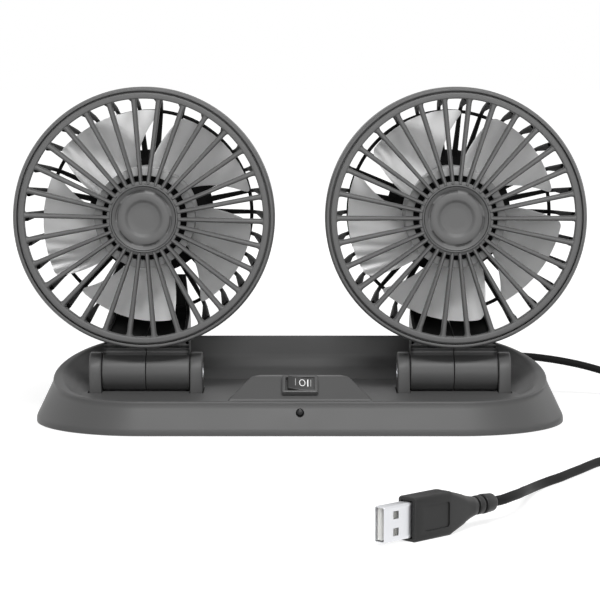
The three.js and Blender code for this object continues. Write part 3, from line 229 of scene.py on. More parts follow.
def as_object(name, points, faces, paint, body, stands_for=(), sharp=sharp_angle, slot=None):
    """A mesh object at the origin, smooth but for its sharp edges, riding on a body."""
    mesh = bpy.data.meshes.new(name)
    mesh.from_pydata([tuple(map(float, p)) for p in points], [], [tuple(f) for f in faces])
    build = bmesh.new()
    build.from_mesh(mesh)
    bmesh.ops.remove_doubles(build, verts=build.verts, dist=same_point)
    bmesh.ops.dissolve_degenerate(build, edges=build.edges, dist=no_area)
    bmesh.ops.recalc_face_normals(build, faces=build.faces)
    build.to_mesh(mesh)
    build.free()
    mesh.materials.append(paint)
    mesh.shade_smooth()
    mesh.set_sharp_from_angle(angle=radians(sharp))
    obj = bpy.data.objects.new(name, mesh)
    bpy.context.collection.objects.link(obj)
    if body:
        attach(obj, body)
    if stands_for:
        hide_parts(*stands_for)
    return obj


def loft(rings):
    """Points and faces of closed rings joined in order, with flat caps."""
    rows, columns = len(rings), len(rings[0])
    faces = grid_faces(rows, columns)
    faces.append(tuple(range(columns))[::-1])
    faces.append(tuple((rows - 1) * columns + c for c in range(columns)))
    return np.concatenate(rings), faces


def coil_line(steps_a_turn=40):
    """The coil's middle line: in along the floor, up a layer where it turns back, and out on top."""
    turns = 2 * coil_in + coil_climb
    least = coil_radius - coil_in * coil_pitch
    line = []
    for i in range(round(turns * steps_a_turn) + 1):
        turn = i / steps_a_turn
        radius, height = coil_radius - coil_pitch * turn, cord_rest
        if turn > coil_in:
            climb = min((turn - coil_in) / coil_climb, 1)
            radius = least - coil_pitch * coil_tuck_share * sin(pi * climb)
            height = cord_rest + coil_pitch * climb * climb * (3 - 2 * climb)
            if climb == 1:
                radius = least + coil_pitch * (turn - coil_in - coil_climb)
        angle = -2 * pi * turn
        line.append((coil_middle[0] + radius * cos(angle), coil_middle[1] + radius * sin(angle), height))
    return np.array(line)


lead_route = [
    (0.0954, 0.0666, 0.0198), (0.1018, 0.0716, 0.0197), (0.110, 0.0747, 0.0191), (0.119, 0.0756, 0.018),
    (0.128, 0.075, 0.0166), (0.137, 0.0736, 0.0148), (0.1465, 0.0714, 0.0123), (0.157, 0.0684, 0.009),
    (0.168, 0.0642, 0.0056), (0.1776, 0.058, 0.0032), (0.1854, 0.0493, 0.0021), (0.1906, 0.039, 0.0018),
    (0.1936, 0.028, 0.0018),
]
tail_route = [
    (0.1946, -0.006, 0.0054), (0.1932, -0.020, 0.0042), (0.1896, -0.035, 0.0029), (0.184, -0.048, 0.002),
    (0.1765, -0.060, 0.0018), (0.1665, -0.0715, 0.0018), (0.1555, -0.0825, 0.0018), (0.1445, -0.093, 0.0018),
    (0.134, -0.1033, 0.0018), (0.125, -0.1132, 0.0018), (0.1172, -0.1227, 0.0018),
    (0.1133, -0.1295, 0.0018), (0.1085, -0.1384, 0.0018), (0.1035, -0.1471, 0.0018),
    (0.0987, -0.1557, 0.0018), (0.0942, -0.1626, 0.0018), (0.0902, -0.1694, 0.0018),
    (0.0864, -0.1788, 0.0024), (0.0826, -0.1925, 0.0039), (0.0799, -0.2050, 0.0057),
    (0.0772, -0.2160, 0.0070), (0.0740, -0.2238, 0.0076),
]


def smooth_path(points, step):
    """Points a step apart along a centripetal Catmull-Rom curve through the given ones."""
    points = np.asarray(points, float)
    padded = np.vstack([2 * points[0] - points[1], points, 2 * points[-1] - points[-2]])
    out = [points[0]]
    for i in range(1, len(padded) - 2):
        near = padded[i - 1:i + 3]
        knots = np.cumsum([0, *(max(sqrt(np.linalg.norm(b - a)), 1e-6) for a, b in zip(near, near[1:]))])
        count = max(1, round(np.linalg.norm(near[2] - near[1]) / step))
        for k in range(1, count + 1):
            t = knots[1] + (knots[2] - knots[1]) * k / count
            level = near
            for spans in (((0, 1), (1, 2), (2, 3)), ((0, 2), (1, 3)), ((1, 2),)):
                level = [((knots[b] - t) * before + (t - knots[a]) * after) / (knots[b] - knots[a])
                         for (a, b), before, after in zip(spans, level, level[1:])]
            out.append(level[0])
    return np.array(out)


def swept(path, radius, around=16):
    """Points and faces of a round tube along a path, with its frame carried along and its ends capped."""
    path = np.asarray(path, float)
    along = np.gradient(path, axis=0)
    along /= np.linalg.norm(along, axis=1)[:, None]
    across = np.cross(along[0], (0, 0, 1))
    rings = []
    for place, way in zip(path, along):
        across = across - way * (across @ way)
        across /= np.linalg.norm(across)
        rise = np.cross(across, way)
        rings.append(np.array([place + radius * (across * cos(a) + rise * sin(a))
                               for a in np.linspace(0, 2 * pi, around, endpoint=False)]))
    return loft(rings)


coil = coil_line()
enter, leave = coil[0] - coil[1], coil[-1] - coil[-2]
enter[2] = leave[2] = 0
coil_start = coil[0] + enter / np.linalg.norm(enter) * coil_straight
coil_finish = coil[-1] + leave / np.linalg.norm(leave) * coil_straight
lead_start = relief_root + relief_out * (relief_length + hair)
cord_path = np.vstack([
    smooth_path([lead_start, lead_start + relief_out * relief_run, *lead_route,
                 coil_start + (0, cord_run, 0), coil_start + (0, hair, 0), coil_start, coil[0]], cord_step),
    coil[1:-1],
    smooth_path([coil[-1], coil_finish, coil_finish - (0, hair, 0), coil_finish - (0, cord_run, 0),
                 *tail_route, plug_end + plug_back * plug_run, plug_end], cord_step),
])
cord_length = float(np.linalg.norm(np.diff(cord_path, axis=0), axis=1).sum())
print(f"cord length {cord_length:.4f} m")
cord = as_object("usb_cord", *swept(cord_path, cord_radius), cord_pvc, "base",
                 ("cable_lead", "cable_coil", "cable_tail"), slot="cable_plastic")


# Base: the upper shell, one moulding of the heads' grey plastic, screwed to the bottom cover from below. Its grey
# is painted darker, as painted shade.
# Its tray floor, tray wall, lip and outer wall are one section carried round the outline.
# The hinge ears come up through four slots in the tray's floor.

back_lip, front_lip, end_lip = 0.0018, 0.0024, 0.0044  # width of the lip's flat top
back_soft, front_soft, end_soft = 0.0009, 0.0010, 0.0030  # roundings of the lip
tray_run, end_run = 0.0095, 0.0112  # level run of the tray wall at the back, and at the ends
low_rise = 0.004  # a tray wall lower than this has less run at the ends
shell_wall, floor_wall = 0.0022, 0.0024
floor_margin = 0.010  # how far the skin goes in over the floor before its one flat face
bend_shares = ((0.36, 0.24), (0.08, 0.48))  # how far out and how far up the tray wall's bends lie
end_bend_shares = ((0.62, 0.30), (0.32, 0.62))  # the same at the ends
upright, upright_lean = 0.0022, 0.0001  # height and lean of the upright part of the outer wall, under the lip
arc_steps, side_steps = 56, 8
ear_inner, ear_outer = 0.0197, 0.0251  # an ear's faces from the middle of its hinge
ear_radius = 0.0087
slot_free, slot_aside = 0.0016, 0.0006  # open length of a slot in front of its ear, and beside it
slot_low, slot_high = 0.008, 0.020
hinge_y, hinge_z = joints["head_left_tilt"]["pos_m"][1:]
lamp_height, lamp_radius = 0.0098, 0.0015
lamp_hole = (-0.060, -0.040)  # from front to back, through the wall


corner_share = 0.49  # most of a side that the rounding of one corner may take
# Painted shade: the heads' grey plastic painted a darker grey for the base, whose leaning walls catch more light.
# The ears, console and barrels use it too.
shaded_base_grey = finish_of("base_plastic", "4e4e4e", 0.45, tone=0.12, specular=0.25)


def rounded(points, radii, steps=4):
    """A closed outline with its corners rounded. radii is one radius, or one for each corner."""
    points = np.asarray(points, float)
    radii = np.broadcast_to(radii, len(points))
    out = []
    for i, corner in enumerate(points):
        if radii[i] == 0:
            out.append(corner)
            continue
        back, ahead = points[i - 1] - corner, points[(i + 1) % len(points)] - corner
        long_back, long_ahead = np.linalg.norm(back), np.linalg.norm(ahead)
        back, ahead = back / long_back, ahead / long_ahead
        half = acos(float(np.clip(back @ ahead, -1, 1))) / 2
        reach = min(radii[i] / max(tan(half), 1e-6), long_back * corner_share, long_ahead * corner_share)
        for k in range(steps + 1):
            s = k / steps
            out.append((1 - s) ** 2 * (corner + back * reach) + 2 * s * (1 - s) * corner
                       + s ** 2 * (corner + ahead * reach))
    return np.array(out)


def box(low, high):
    """Points and faces of a box."""
    corners = [(x, y, z) for x in (low[0], high[0]) for y in (low[1], high[1]) for z in (low[2], high[2])]
    faces = [(0, 1, 3, 2), (4, 6, 7, 5), (0, 4, 5, 1), (2, 3, 7, 6), (0, 2, 6, 4), (1, 5, 7, 3)]
    return np.array(corners), faces


def rod_along(axis, middle, radius, start, end, steps=48):
    """Points and faces of a cylinder along X or Y."""
    ring = [(middle[0] + radius * cos(a), middle[1] + radius * sin(a))
            for a in np.linspace(0, 2 * pi, steps, endpoint=False)]
    return loft([np.array([(place, u, v) if axis == "x" else (u, place, v) for u, v in ring])
                 for place in (start, end)])


def cut_away(obj, *solids):
    """Takes solids, given as points and faces, out of an object's mesh."""
    for k, (points, faces) in enumerate(solids):
        cutter = as_object(f"cutter_{k}", points, faces, obj.data.materials[0], None)
        modifier = obj.modifiers.new("cut", "BOOLEAN")
        modifier.operation = "DIFFERENCE"
        modifier.solver = "EXACT"
        modifier.object = cutter
        bpy.context.view_layer.update()
        result = bpy.data.meshes.new_from_object(obj.evaluated_get(bpy.context.evaluated_depsgraph_get()))
        obj.modifiers.clear()
        old = obj.data
        obj.data = result
        bpy.data.meshes.remove(old)
        bpy.data.meshes.remove(cutter.data)
    obj.data.set_sharp_from_angle(angle=radians(sharp_angle))


def base_profile(sine, cosine):
    """Inset and height round one section of the base, from the floor over the lip and back inside."""
    inset, top = rim_inset(sine), rim_height(sine)
    rise = top - tray_floor
    ends = cosine * cosine
    width, soft = (front_lip, front_soft) if sine < 0 else (back_lip, back_soft)
    lip = inset + width + (end_lip - width) * ends
    soft += (end_soft - soft) * ends
    spread = tray_run * rise / (back_rim - tray_floor)
    spread += (end_run - spread) * ends * min(1, rise / low_rise)
    points = [(lip + spread + floor_margin, tray_floor), (lip + spread, tray_floor)]
    for side_bend, end_bend in zip(bend_shares, end_bend_shares):
        out, up = (s + (e - s) * ends for s, e in zip(side_bend, end_bend))
        points.append((lip + spread * out, tray_floor + rise * up))
    points += [(lip, top), (inset, top), (inset + upright_lean, top - upright), (0, band_top), (0, foot_gap),
               (shell_wall, foot_gap), (shell_wall, band_top),
               (lip + spread + floor_margin, tray_floor - floor_wall)]
    radii = [0, 0.0016, 0.007, 0.009, soft, soft, 0.007, 0.004, 0.0003, 0, 0, 0]
    return rounded(points, radii, 5)


def base_skin():
    """The profile of the base carried round its outline, with the flat middle of its floor."""
    stations = []
    for side in (1, -1):
        for i in range(arc_steps + 1):
            angle = -pi / 2 + pi * i / arc_steps
            stations.append((side * half_pitch, side * cos(angle), side * sin(angle)))
        for i in range(1, side_steps):
            stations.append((side * half_pitch * (1 - 2 * i / side_steps), 0, side))
    rows = []
    for middle, across, back in stations:
        rows.append(np.array([(middle + (end_radius - inset) * across, (end_radius - inset) * back, height)
                              for inset, height in base_profile(back, across)]))
    columns = len(rows[0])
    faces = grid_faces(len(rows), columns, wrap_rows=True, wrap_columns=False)
    for edge in (0, columns - 1):
        faces.append(tuple(r * columns + edge for r in range(len(rows))))
    return np.concatenate(rows), faces


def ear_slot(side, way):
    """The hole in the tray's floor that one ear comes up through."""
    start, end = sorted((way * (ear_inner - hair), way * (ear_outer + slot_aside)))
    return box((side * half_pitch + start, hinge_y - ear_radius - slot_free, slot_low),
               (side * half_pitch + end, hinge_y + ear_radius + hair, slot_high))


ear_slots = [ear_slot(side, way) for side in (-1, 1) for way in (-1, 1)]
base_shell = as_object("base_top_skin", *base_skin(), shaded_base_grey, "base", ("base_top_shell",),
                       slot="grey_plastic")
cut_away(base_shell, *ear_slots, rod_along("y", (0, lamp_height), lamp_radius + hair, *lamp_hole))


# Lamp: a lens of smoked plastic with a low dome, pressed into its hole in the front wall.
# It is a section turned about its own axis.

smoked = finish_of("smoked_lens", "0c0c0d", 0.3, tone=0.2, depth=0.000005, specular=0.3)


def turned(section, root, steps, axis=(0, 1, 0)):
    """Points and faces of a section of (radius, distance) points turned about a level axis through root."""
    root, axis, up = np.array(root), np.array(axis), np.array((0, 0, 1))
    across = np.cross(axis, up)
    rings = [np.array([root + axis * d + r * (across * cos(a) + up * sin(a)) for r, d in section])
             for a in np.linspace(0, 2 * pi, steps, endpoint=False)]
    return np.concatenate(rings), grid_faces(steps, len(section), wrap_rows=True)


lens_face, lens_length = -0.0458, 0.004
lens = [(0, lens_length), (lamp_radius, lens_length), (lamp_radius, 0.0006), (lamp_radius * 0.8, 0.0004),
        (lamp_radius * 0.45, 0.0003), (0, 0.00028)]
as_object("lamp_lens", *turned(lens, (0, lens_face, lamp_height), 48), smoked, "base", ("indicator_lamp",),
          slot="lamp")


# Console: a wedge with sloping ends that carries the switch, moulded in one with the tray.
# It is three level outlines joined, with its edges rounded.

console_front, console_top_front, console_top_back, console_foot_back = -0.0402, -0.0286, -0.0236, -0.0210
console_riser, console_top = 0.0007, 0.0234
console_sunk = 0.0012  # how far it goes into the floor
console_half, console_top_half = 0.0316, 0.0216
console_back_share = 0.82  # of its width, at the back


def bevelled(obj, width, segments, angle):
    """Rounds the edges of an object that are sharper than an angle, in degrees."""
    bevel = obj.modifiers.new("edges", "BEVEL")
    bevel.width = width
    bevel.segments = segments
    bevel.limit_method = "ANGLE"
    bevel.angle_limit = radians(angle)
    bevel.harden_normals = True


def console_wedge():
    """Rings at the console's foot, over its riser and at its top."""
    rings = []
    foot = (console_half, console_front, console_foot_back)
    top = (console_top_half, console_top_front, console_top_back)
    for (half, front, back), height in ((foot, tray_floor - console_sunk), (foot, tray_floor + console_riser),
                                        (top, console_top)):
        behind = half * console_back_share
        rings.append(np.array([(-half, front, height), (half, front, height), (behind, back, height),
                               (-behind, back, height)]))
    return loft(rings)


console = as_object("switch_console", *console_wedge(), shaded_base_grey, "base", ("base_top_shell",),
                    slot="grey_plastic")
bevelled(console, 0.0011, 5, 20)


# Switch: a rocker switch of glossy plastic that snaps into the console, resting on II.
# A bezel stands round its well, and the marks I O II are printed on the rocker's dish.

switch_slope = radians(37.6)
switch_middle = (0, -0.034030, 0.019268)
bezel_x, bezel_y, bezel_top, bezel_corner = 0.0156, 0.0104, 0.0026, 0.0008
well_x, well_y, well_depth, well_corner = 0.0122, 0.0080, 0.005, 0.0005
bezel_soft = 0.0004
rocker_half, rocker_width, rocker_top, rocker_dish = 0.0057, 0.0075, 0.0037, 0.0007
rocker_heel, rocker_edge = 0.0026, 0.0008
pivot_drop, rock_angle = 0.0006, radians(9)
mark_height, mark_up, ring_share = 0.0041, 0.0005, 0.64
print_sunk, print_proud = -0.0001, 0.00005
marks = {"I": (-0.0025, 0.0003), "O": (0.0005, 0.00036),  # place along the rocker, and width of the stroke
         "II_1": (0.0029, 0.0005), "II_2": (0.0042, 0.0003)}

switch_frame = Matrix.Translation(switch_middle) @ Matrix.Rotation(switch_slope, 4, "X")
rocker_frame = switch_frame @ Matrix.Translation((0, 0, -pivot_drop)) @ Matrix.Rotation(rock_angle, 4, "Y")


gloss = finish_of("switch_plastic", "4c4c4c", 0.36, tone=0.15, depth=0.00001)
dark_gloss = finish_of("rocker_plastic", "3a3a3a", 0.3, tone=0.15, depth=0.00001)
print_white = finish_of("white_print", "f2f2f2", 0.6, tone=0.04, depth=0.000005)
print_grey = finish_of("grey_print", "a0a0a0", 0.6, tone=0.04, depth=0.000005)


def rectangle(width, depth, radius, steps):
    """A closed outline of a rectangle round the origin, with its corners rounded."""
    return rounded(np.array([(-1, -1), (1, -1), (1, 1), (-1, 1)]) * (width / 2, depth / 2), radius, steps)


def placed(surface, matrix):
    """Points and faces, moved by a matrix."""
    points, faces = surface
    return np.array([matrix @ Vector(p) for p in points]), faces


def bezel():
    """The bezel from its foot over its top and down into the well."""
    rings = [(0, bezel_corner, hair), (0, bezel_corner, bezel_top - bezel_soft),
             (-0.0003, bezel_corner, bezel_top - 0.0001), (-0.0008, bezel_corner, bezel_top)]
    rings = [(bezel_x + more, bezel_y + more, corner, height) for more, corner, height in rings]
    rings += [(well_x + 0.0006, well_y + 0.0006, 0.0006, bezel_top),
              (well_x, well_y, well_corner, bezel_top - bezel_soft),
              (well_x, well_y, well_corner, -well_depth)]
    return placed(loft([np.array([(x, y, height) for x, y in rectangle(width, depth, corner, 5)])
                        for width, depth, corner, height in rings]), switch_frame)


def rocker_top_at(x):
    return rocker_top - rocker_dish * (1 - (x / rocker_half) ** 2)


def rocker():
    """The rocker's side outline, with a round heel below and a dish on top, drawn out over its width."""
    heel = [(rocker_heel * cos(a), rocker_heel * sin(a)) for a in np.linspace(-pi, 0, 13)]
    dish = [(x, rocker_top_at(x)) for x in np.linspace(rocker_half, -rocker_half, 25)]
    outline = heel + [(rocker_half, rocker_edge)] + dish + [(-rocker_half, rocker_edge)]
    return placed(loft([np.array([(x, y, z) for x, z in outline])
                        for y in (-rocker_width / 2, rocker_width / 2)]), rocker_frame)


def mark(name, x, stroke):
    """One raised printed stroke or ring, laid on the rocker's dish."""
    half = stroke / 2
    if name == "O":
        middle = mark_height / 2 - half
        corners = ((-half, print_sunk), (-half, print_proud), (half, print_proud), (half, print_sunk))
        rings = [np.array([(x + (middle * ring_share + side * 0.8) * cos(a), (middle + side) * sin(a), lift)
                           for a in np.linspace(0, 2 * pi, 48, endpoint=False)]) for side, lift in corners]
        points, faces = np.concatenate(rings), grid_faces(4, 48, wrap_rows=True)
    else:
        low = (x - half, -mark_height / 2, print_sunk)
        points, faces = box(low, (x + half, mark_height / 2, print_proud))
    points = [(px, py + mark_up, pz + rocker_top_at(px)) for px, py, pz in points]
    return placed((points, faces), rocker_frame)


as_object("switch_bezel", *bezel(), gloss, "base", ("switch_housing",), slot="switch_plastic")
rocker_cap = as_object("switch_rocker_cap", *rocker(), dark_gloss, "rocker", ("switch_rocker",),
                       slot="switch_plastic")
bevelled(rocker_cap, 0.0003, 2, 40)
for mark_name, (mark_x, stroke) in marks.items():
    ink = print_grey if mark_name in ("I", "II_2") else print_white
    as_object(f"switch_mark_{mark_name}", *mark(mark_name, mark_x, stroke), ink, "rocker")


# Hinges: two ears of grey plastic with rounded tops on each side of a split barrel.
# A screw and a nut, sunk in the outer and the inner ear, clamp the barrel between them.

ear_foot = 0.0105  # height down to which an ear shows
screw_radius, nut_across = 0.0039, 0.0076
screw_sink = 0.0023  # depth of the recess of a screw's head, or of a nut
cutter_past = 0.002  # how far a cutter stands out of the face it cuts


def ear_plate(middle, start, end):
    """A plate with a round top, between two places along the hinge."""
    arc = [(ear_radius * cos(a), ear_radius * sin(a)) for a in np.linspace(0, pi, 33)]
    outline = arc + [(-ear_radius, ear_foot - hinge_z), (ear_radius, ear_foot - hinge_z)]
    return loft([np.array([(middle + x, hinge_y + y, hinge_z + z) for y, z in outline])
                 for x in (start, end)])


for name, side in sides.items():
    middle = side * half_pitch
    for way, label in ((side, "outer"), (-side, "inner")):
        start, end = sorted((way * ear_inner, way * ear_outer))
        ear = as_object(f"{name}_ear_{label}", *ear_plate(middle, start, end), shaded_base_grey, "base",
                        (f"{name}_hinge_ear_{label}",), slot="grey_plastic")
        bevelled(ear, 0.0006, 4, 30)
        face = middle + way * ear_outer
        inside, outside = sorted((face - way * screw_sink, face + way * cutter_past))
        radius, around = (screw_radius, 48) if label == "outer" else (nut_across / 2 / cos(pi / 6), 6)
        cut_away(ear, rod_along("x", (hinge_y, hinge_z), radius, inside, outside, around))


# Arms: each head's arm is two mouldings of grey plastic that meet at a seam in the middle.
# A split barrel, a neck and a channel follow the guard to its back disc, black on the inside.

barrel_radius, barrel_half = 0.0084, 0.0194
head_radius = 0.0575
fan_y, fan_z = joints["fan_left_spin"]["pos_m"][1:]
fan_up = fan_z - hinge_z
seam_ahead = hinge_y - fan_y
rim_depth = 0.012
guard_line = [(0.0547, 0.01315), (0.0512, 0.045), (0.0472, 0.0524), (0.026, 0.0548)]  # radius, depth
back_disc, cage_depth = 0.0286, 0.0548
arm_wall, arm_lip, arm_side = 0.0017, 0.0024, 0.0015
arm_half_low, arm_half_high = 0.0192, 0.0155
rim_gap = 0.010  # height over the hinge up to which the arm keeps its width
neck_back = ((1.1, 0.55), (1.7, 1.05))  # shares of the barrel's radius, and of the height up to the rim
neck_front = ((-0.24, 1.12), (-0.44, 0.88), (-0.6, 0))  # shares of the barrel's radius
neck_foot_share, neck_top_share = 0.97, 0.55
guard_foot = 0.014  # height over the hinge from which the inside of the channel is black
guard_middle = 0.02  # depth that parts the faces of the channel that look forwards from the others


grey = finish_of("grey_plastic", "5b5b5b", 0.42, tone=0.12, specular=0.3)
black = finish_of("black_plastic", "0a0a0a", 0.6, tone=0.3, specular=0.1)


def combined(*parts):
    """Several sets of points and faces as one."""
    points, faces, first = [], [], 0
    for some_points, some_faces in parts:
        points.append(np.asarray(some_points, float))
        faces += [tuple(first + i for i in face) for face in some_faces]
        first += len(some_points)
    return np.concatenate(points), faces


def inner_line(line, distance):
    """The same line moved inwards, square to itself."""
    out = []
    for i, (radius, depth) in enumerate(line):
        (r0, d0), (r1, d1) = line[max(i - 1, 0)], line[min(i + 1, len(line) - 1)]
        length = hypot(r1 - r0, d1 - d0)
        out.append((radius - (d1 - d0) / length * distance, depth + (r1 - r0) / length * distance))
    return out


def arm_outline(wall):
    """Outline of the arm from the side, as (y, z) from the hinge, with its bends rounded."""
    def to_arm(place):
        return place[1] - seam_ahead, fan_up - place[0]

    rim_back = rim_depth - seam_ahead + hair
    rim_under = fan_up - head_radius - 2 * hair
    end = fan_up - back_disc - 2 * hair
    outside = [to_arm(p) for p in guard_line[1:3]]
    inside = [to_arm(p) for p in inner_line(guard_line, wall)[:3]][::-1]
    inside[-1] = (rim_back, inside[-1][1])
    points = [(barrel_radius * neck_foot_share, 0)]
    points += [(barrel_radius * out, rim_under * up) for out, up in neck_back]
    points += [*outside, (cage_depth - seam_ahead, end), (cage_depth - wall - seam_ahead, end), *inside,
               (rim_back, rim_under), (-barrel_radius * neck_top_share, rim_under)]
    points += [(barrel_radius * out, barrel_radius * up) for out, up in neck_front]
    radii = [0, 0.010, 0.012, 0.006, 0.012, 0.0005, 0.0005, 0.010, 0.004, 0.0008, 0.001, 0.0006, 0.003,
             0.001, 0]
    return rounded(points, radii, 6)


def arm_solid(middle, way, wall, from_side):
    """The outline between two distances from the middle, on one side, narrowing upwards."""
    rings = []
    for outer in (False, True):
        ring = []
        for y, z in arm_outline(wall):
            rise = max(z - rim_gap, 0) / (fan_up - back_disc - rim_gap)
            half = arm_half_low + (arm_half_high - arm_half_low) * rise
            x = half if outer else (half - arm_side if from_side else hair / 2)
            ring.append((middle + way * x, hinge_y + y, hinge_z + z))
        rings.append(np.array(ring))
    return loft(rings)


barrel_section = rounded([(0, hair / 2), (barrel_radius, hair / 2), (barrel_radius, barrel_half),
                          (0, barrel_half)], [0, 0.0003, 0.0007, 0], 4)
for name, side in sides.items():
    middle = side * half_pitch
    for way, label in ((side, "outer"), (-side, "inner")):
        channel = combined(arm_solid(middle, way, arm_wall, False),
                           arm_solid(middle, way, arm_wall + arm_lip, True))
        arm = as_object(f"{name}_arm_{label}", *channel, grey, f"head_{name}",
                        (f"{name}_arm_half_{label}",), slot="grey_plastic")
        arm.data.materials.append(black)
        for face in arm.data.polygons:
            level, (out, back, up) = face.center, face.normal
            in_guard = level[2] > hinge_z + guard_foot and abs(out) < 0.7
            if in_guard and (back * (level[1] - fan_y - guard_middle) < 0 or up > 0.5):
                face.material_index = 1
        bevelled(arm, 0.0006, 3, 50)
        section = [(r, way * x) for r, x in barrel_section]
        half_barrel = turned(section, (middle, hinge_y, hinge_z), 96, (1, 0, 0))
        as_object(f"{name}_barrel_{label}", *half_barrel, shaded_base_grey, f"head_{name}",
                  (f"{name}_arm_half_{label}",), slot="grey_plastic")


# Rim: the grey plastic ring that carries the grille in front and the guard behind.
# It is a section turned about the fan's axis.

rim_wall = 0.004
seam_radius = 0.0553
grille_proud, grille_back = 0.0017, 0.0019
seam_edge, rim_shoulder = seam_radius + 0.0004, 0.0010
rim_section = rounded(
    [(seam_edge, -grille_proud / 2), (head_radius - 0.0007, -grille_proud / 2), (head_radius, rim_shoulder),
     (head_radius, rim_depth), (head_radius - rim_wall, rim_depth),
     (head_radius - rim_wall, grille_back + hair), (seam_edge, grille_back + hair)],
    [0.0003, 0.0006, 0.0012, 0.0006, 0.0004, 0, 0], 4)
for name, side in sides.items():
    as_object(f"{name}_rim", *turned(rim_section, (side * half_pitch, fan_y, fan_z), 180), grey,
              f"head_{name}", (f"{name}_head_rim",), slot="grey_plastic")


# Rear guard: one moulding of black plastic that is held by the rim.
# Thirty ribs run from a flat ring, over a thin hoop, to the disc that holds the bearing.

spoke_count = 30
rib_width, rib_depth = 0.0016, 0.0028
rib_width_shares = ((0, 2.5), (0.08, 2.1), (0.3, 1.2), (0.6, 1), (1, 1.7))  # along the rib, of its width
rib_round = ((-1, 0.25), (-0.7, 0), (0.7, 0), (1, 0.25), (1, 0.8), (0.7, 1), (-0.7, 1), (-1, 0.8))
guard_radius, guard_ring, guard_thickness = 0.0550, 0.0012, 0.0017
hoop_radius, hoop_depth, hoop_thickness = 0.0471, 0.0514, 0.0016
disc_thickness, disc_step = 0.0026, 0.0006  # the disc's back has a sunk middle and a groove
disc_sunk = cage_depth - disc_step
bearing_radius, bearing_front, bearing_bore, bore_end = 0.0045, 0.0144, 0.0019, 0.040
bearing_back = cage_depth - 0.001
arm_gap_half = 0.0193


def polar(middle, radius, depth, angle, aside=0.0):
    """A point of a fan head: out from its axis, back from its seam, and aside from its own spoke."""
    return (middle + radius * cos(angle) - aside * sin(angle), fan_y + depth,
            fan_z + radius * sin(angle) + aside * cos(angle))


def frame_bar(outer, inner, front, back, radius):
    """Section of a ring with four rounded corners."""
    return rounded([(inner, front), (outer, front), (outer, back), (inner, back)], radius, 3)


def rib(middle, angle):
    """One rib as a rounded bar along its bent line."""
    line = rounded(np.array(guard_line), [0, 0.012, 0.007, 0], 10)
    inner = np.array(inner_line([tuple(p) for p in line], rib_depth))
    along = np.concatenate([[0], np.cumsum(np.linalg.norm(np.diff(line, axis=0), axis=1))])
    shares = np.interp(along / along[-1], *zip(*rib_width_shares))
    rings = []
    for outside, inside, share in zip(line, inner, shares):
        half = rib_width * share / 2
        rings.append(np.array([polar(middle, *(outside + (inside - outside) * deep), angle, across * half)
                               for across, deep in rib_round]))
    return loft(rings)


guard_start = rim_depth + hair
guard_sections = [
    frame_bar(guard_radius, guard_radius - guard_ring, guard_start, guard_start + guard_thickness, 0.0004),
    frame_bar(hoop_radius, hoop_radius - hoop_thickness, hoop_depth - hoop_thickness, hoop_depth, 0.0005),
    rounded([(0, disc_sunk), (0.0165, disc_sunk), (0.0170, cage_depth), (0.0232, cage_depth),
             (0.0236, disc_sunk), (0.0244, disc_sunk), (0.0248, cage_depth), (back_disc, cage_depth),
             (back_disc, cage_depth - disc_thickness), (0, cage_depth - disc_thickness)],
            [0, 0.0002, 0.0003, 0.0003, 0.0002, 0.0002, 0.0003, 0.0008, 0.0008, 0], 4),
    rounded([(0, bearing_back), (bearing_radius, bearing_back), (bearing_radius, bearing_front),
             (bearing_bore, bearing_front), (bearing_bore, bore_end), (0, bore_end)],
            [0, 0, 0.0004, 0, 0, 0], 3),
]
rib_angles = [2 * pi * k / spoke_count for k in range(spoke_count)]
for name, side in sides.items():
    middle = side * half_pitch
    ribs = [rib(middle, angle) for angle in rib_angles
            if abs(angle - 1.5 * pi) > np.arcsin(arm_gap_half / hoop_radius)]
    rings = [turned(section, (middle, fan_y, fan_z), 120) for section in guard_sections]
    as_object(f"{name}_guard", *combined(*ribs, *rings), black, f"head_{name}", (f"{name}_rear_cage",),
              slot="dark_plastic")


# Grille: one moulding of grey plastic that snaps into the rim.
# Thirty tapered fins run between the ring and the hub, and flare where they meet the ring.

grille_radius = 0.0523
hub_radius, cap_radius, hub_lip = 0.0163, 0.0139, 0.0148  # the hub's face steps up from the fins at its lip
fin_start = 0.0152
fin_root, fin_tip = 0.0016, 0.0022  # widths
fin_front, fin_back = -0.00135, 0.0030
fin_flare, flare_start = 0.0012, 0.95  # extra width at the ring, and the share of the fin where it starts
fin_shares = (0, 0.01, 0.3, 0.6, 0.94, 0.955, 0.97, 0.98, 0.99, 1.0, 1.02)
fin_round = ((-1, fin_back), (-1, fin_front + 0.0009), (-0.7, fin_front + 0.00025), (-0.35, fin_front),
             (0.35, fin_front), (0.7, fin_front + 0.00025), (1, fin_front + 0.0009), (1, fin_back))
fin_turn = {"left": radians(-1.5), "right": 0.0}  # the two grilles differ a little in the photograph


def fin(middle, angle):
    """One grille fin, with a soft front and a flare where it meets the ring."""
    rings = []
    for share in fin_shares:
        radius = fin_start + (grille_radius - fin_start) * share
        flared = min(max(0, share - flare_start) / (1 - flare_start), 1)
        flare = fin_flare * (1 - sqrt(max(0, 1 - flared ** 2)))
        half = (fin_root + (fin_tip - fin_root) * share + flare) / 2
        rings.append(np.array([polar(middle, radius, depth, angle, across * half)
                               for across, depth in fin_round]))
    return loft(rings)


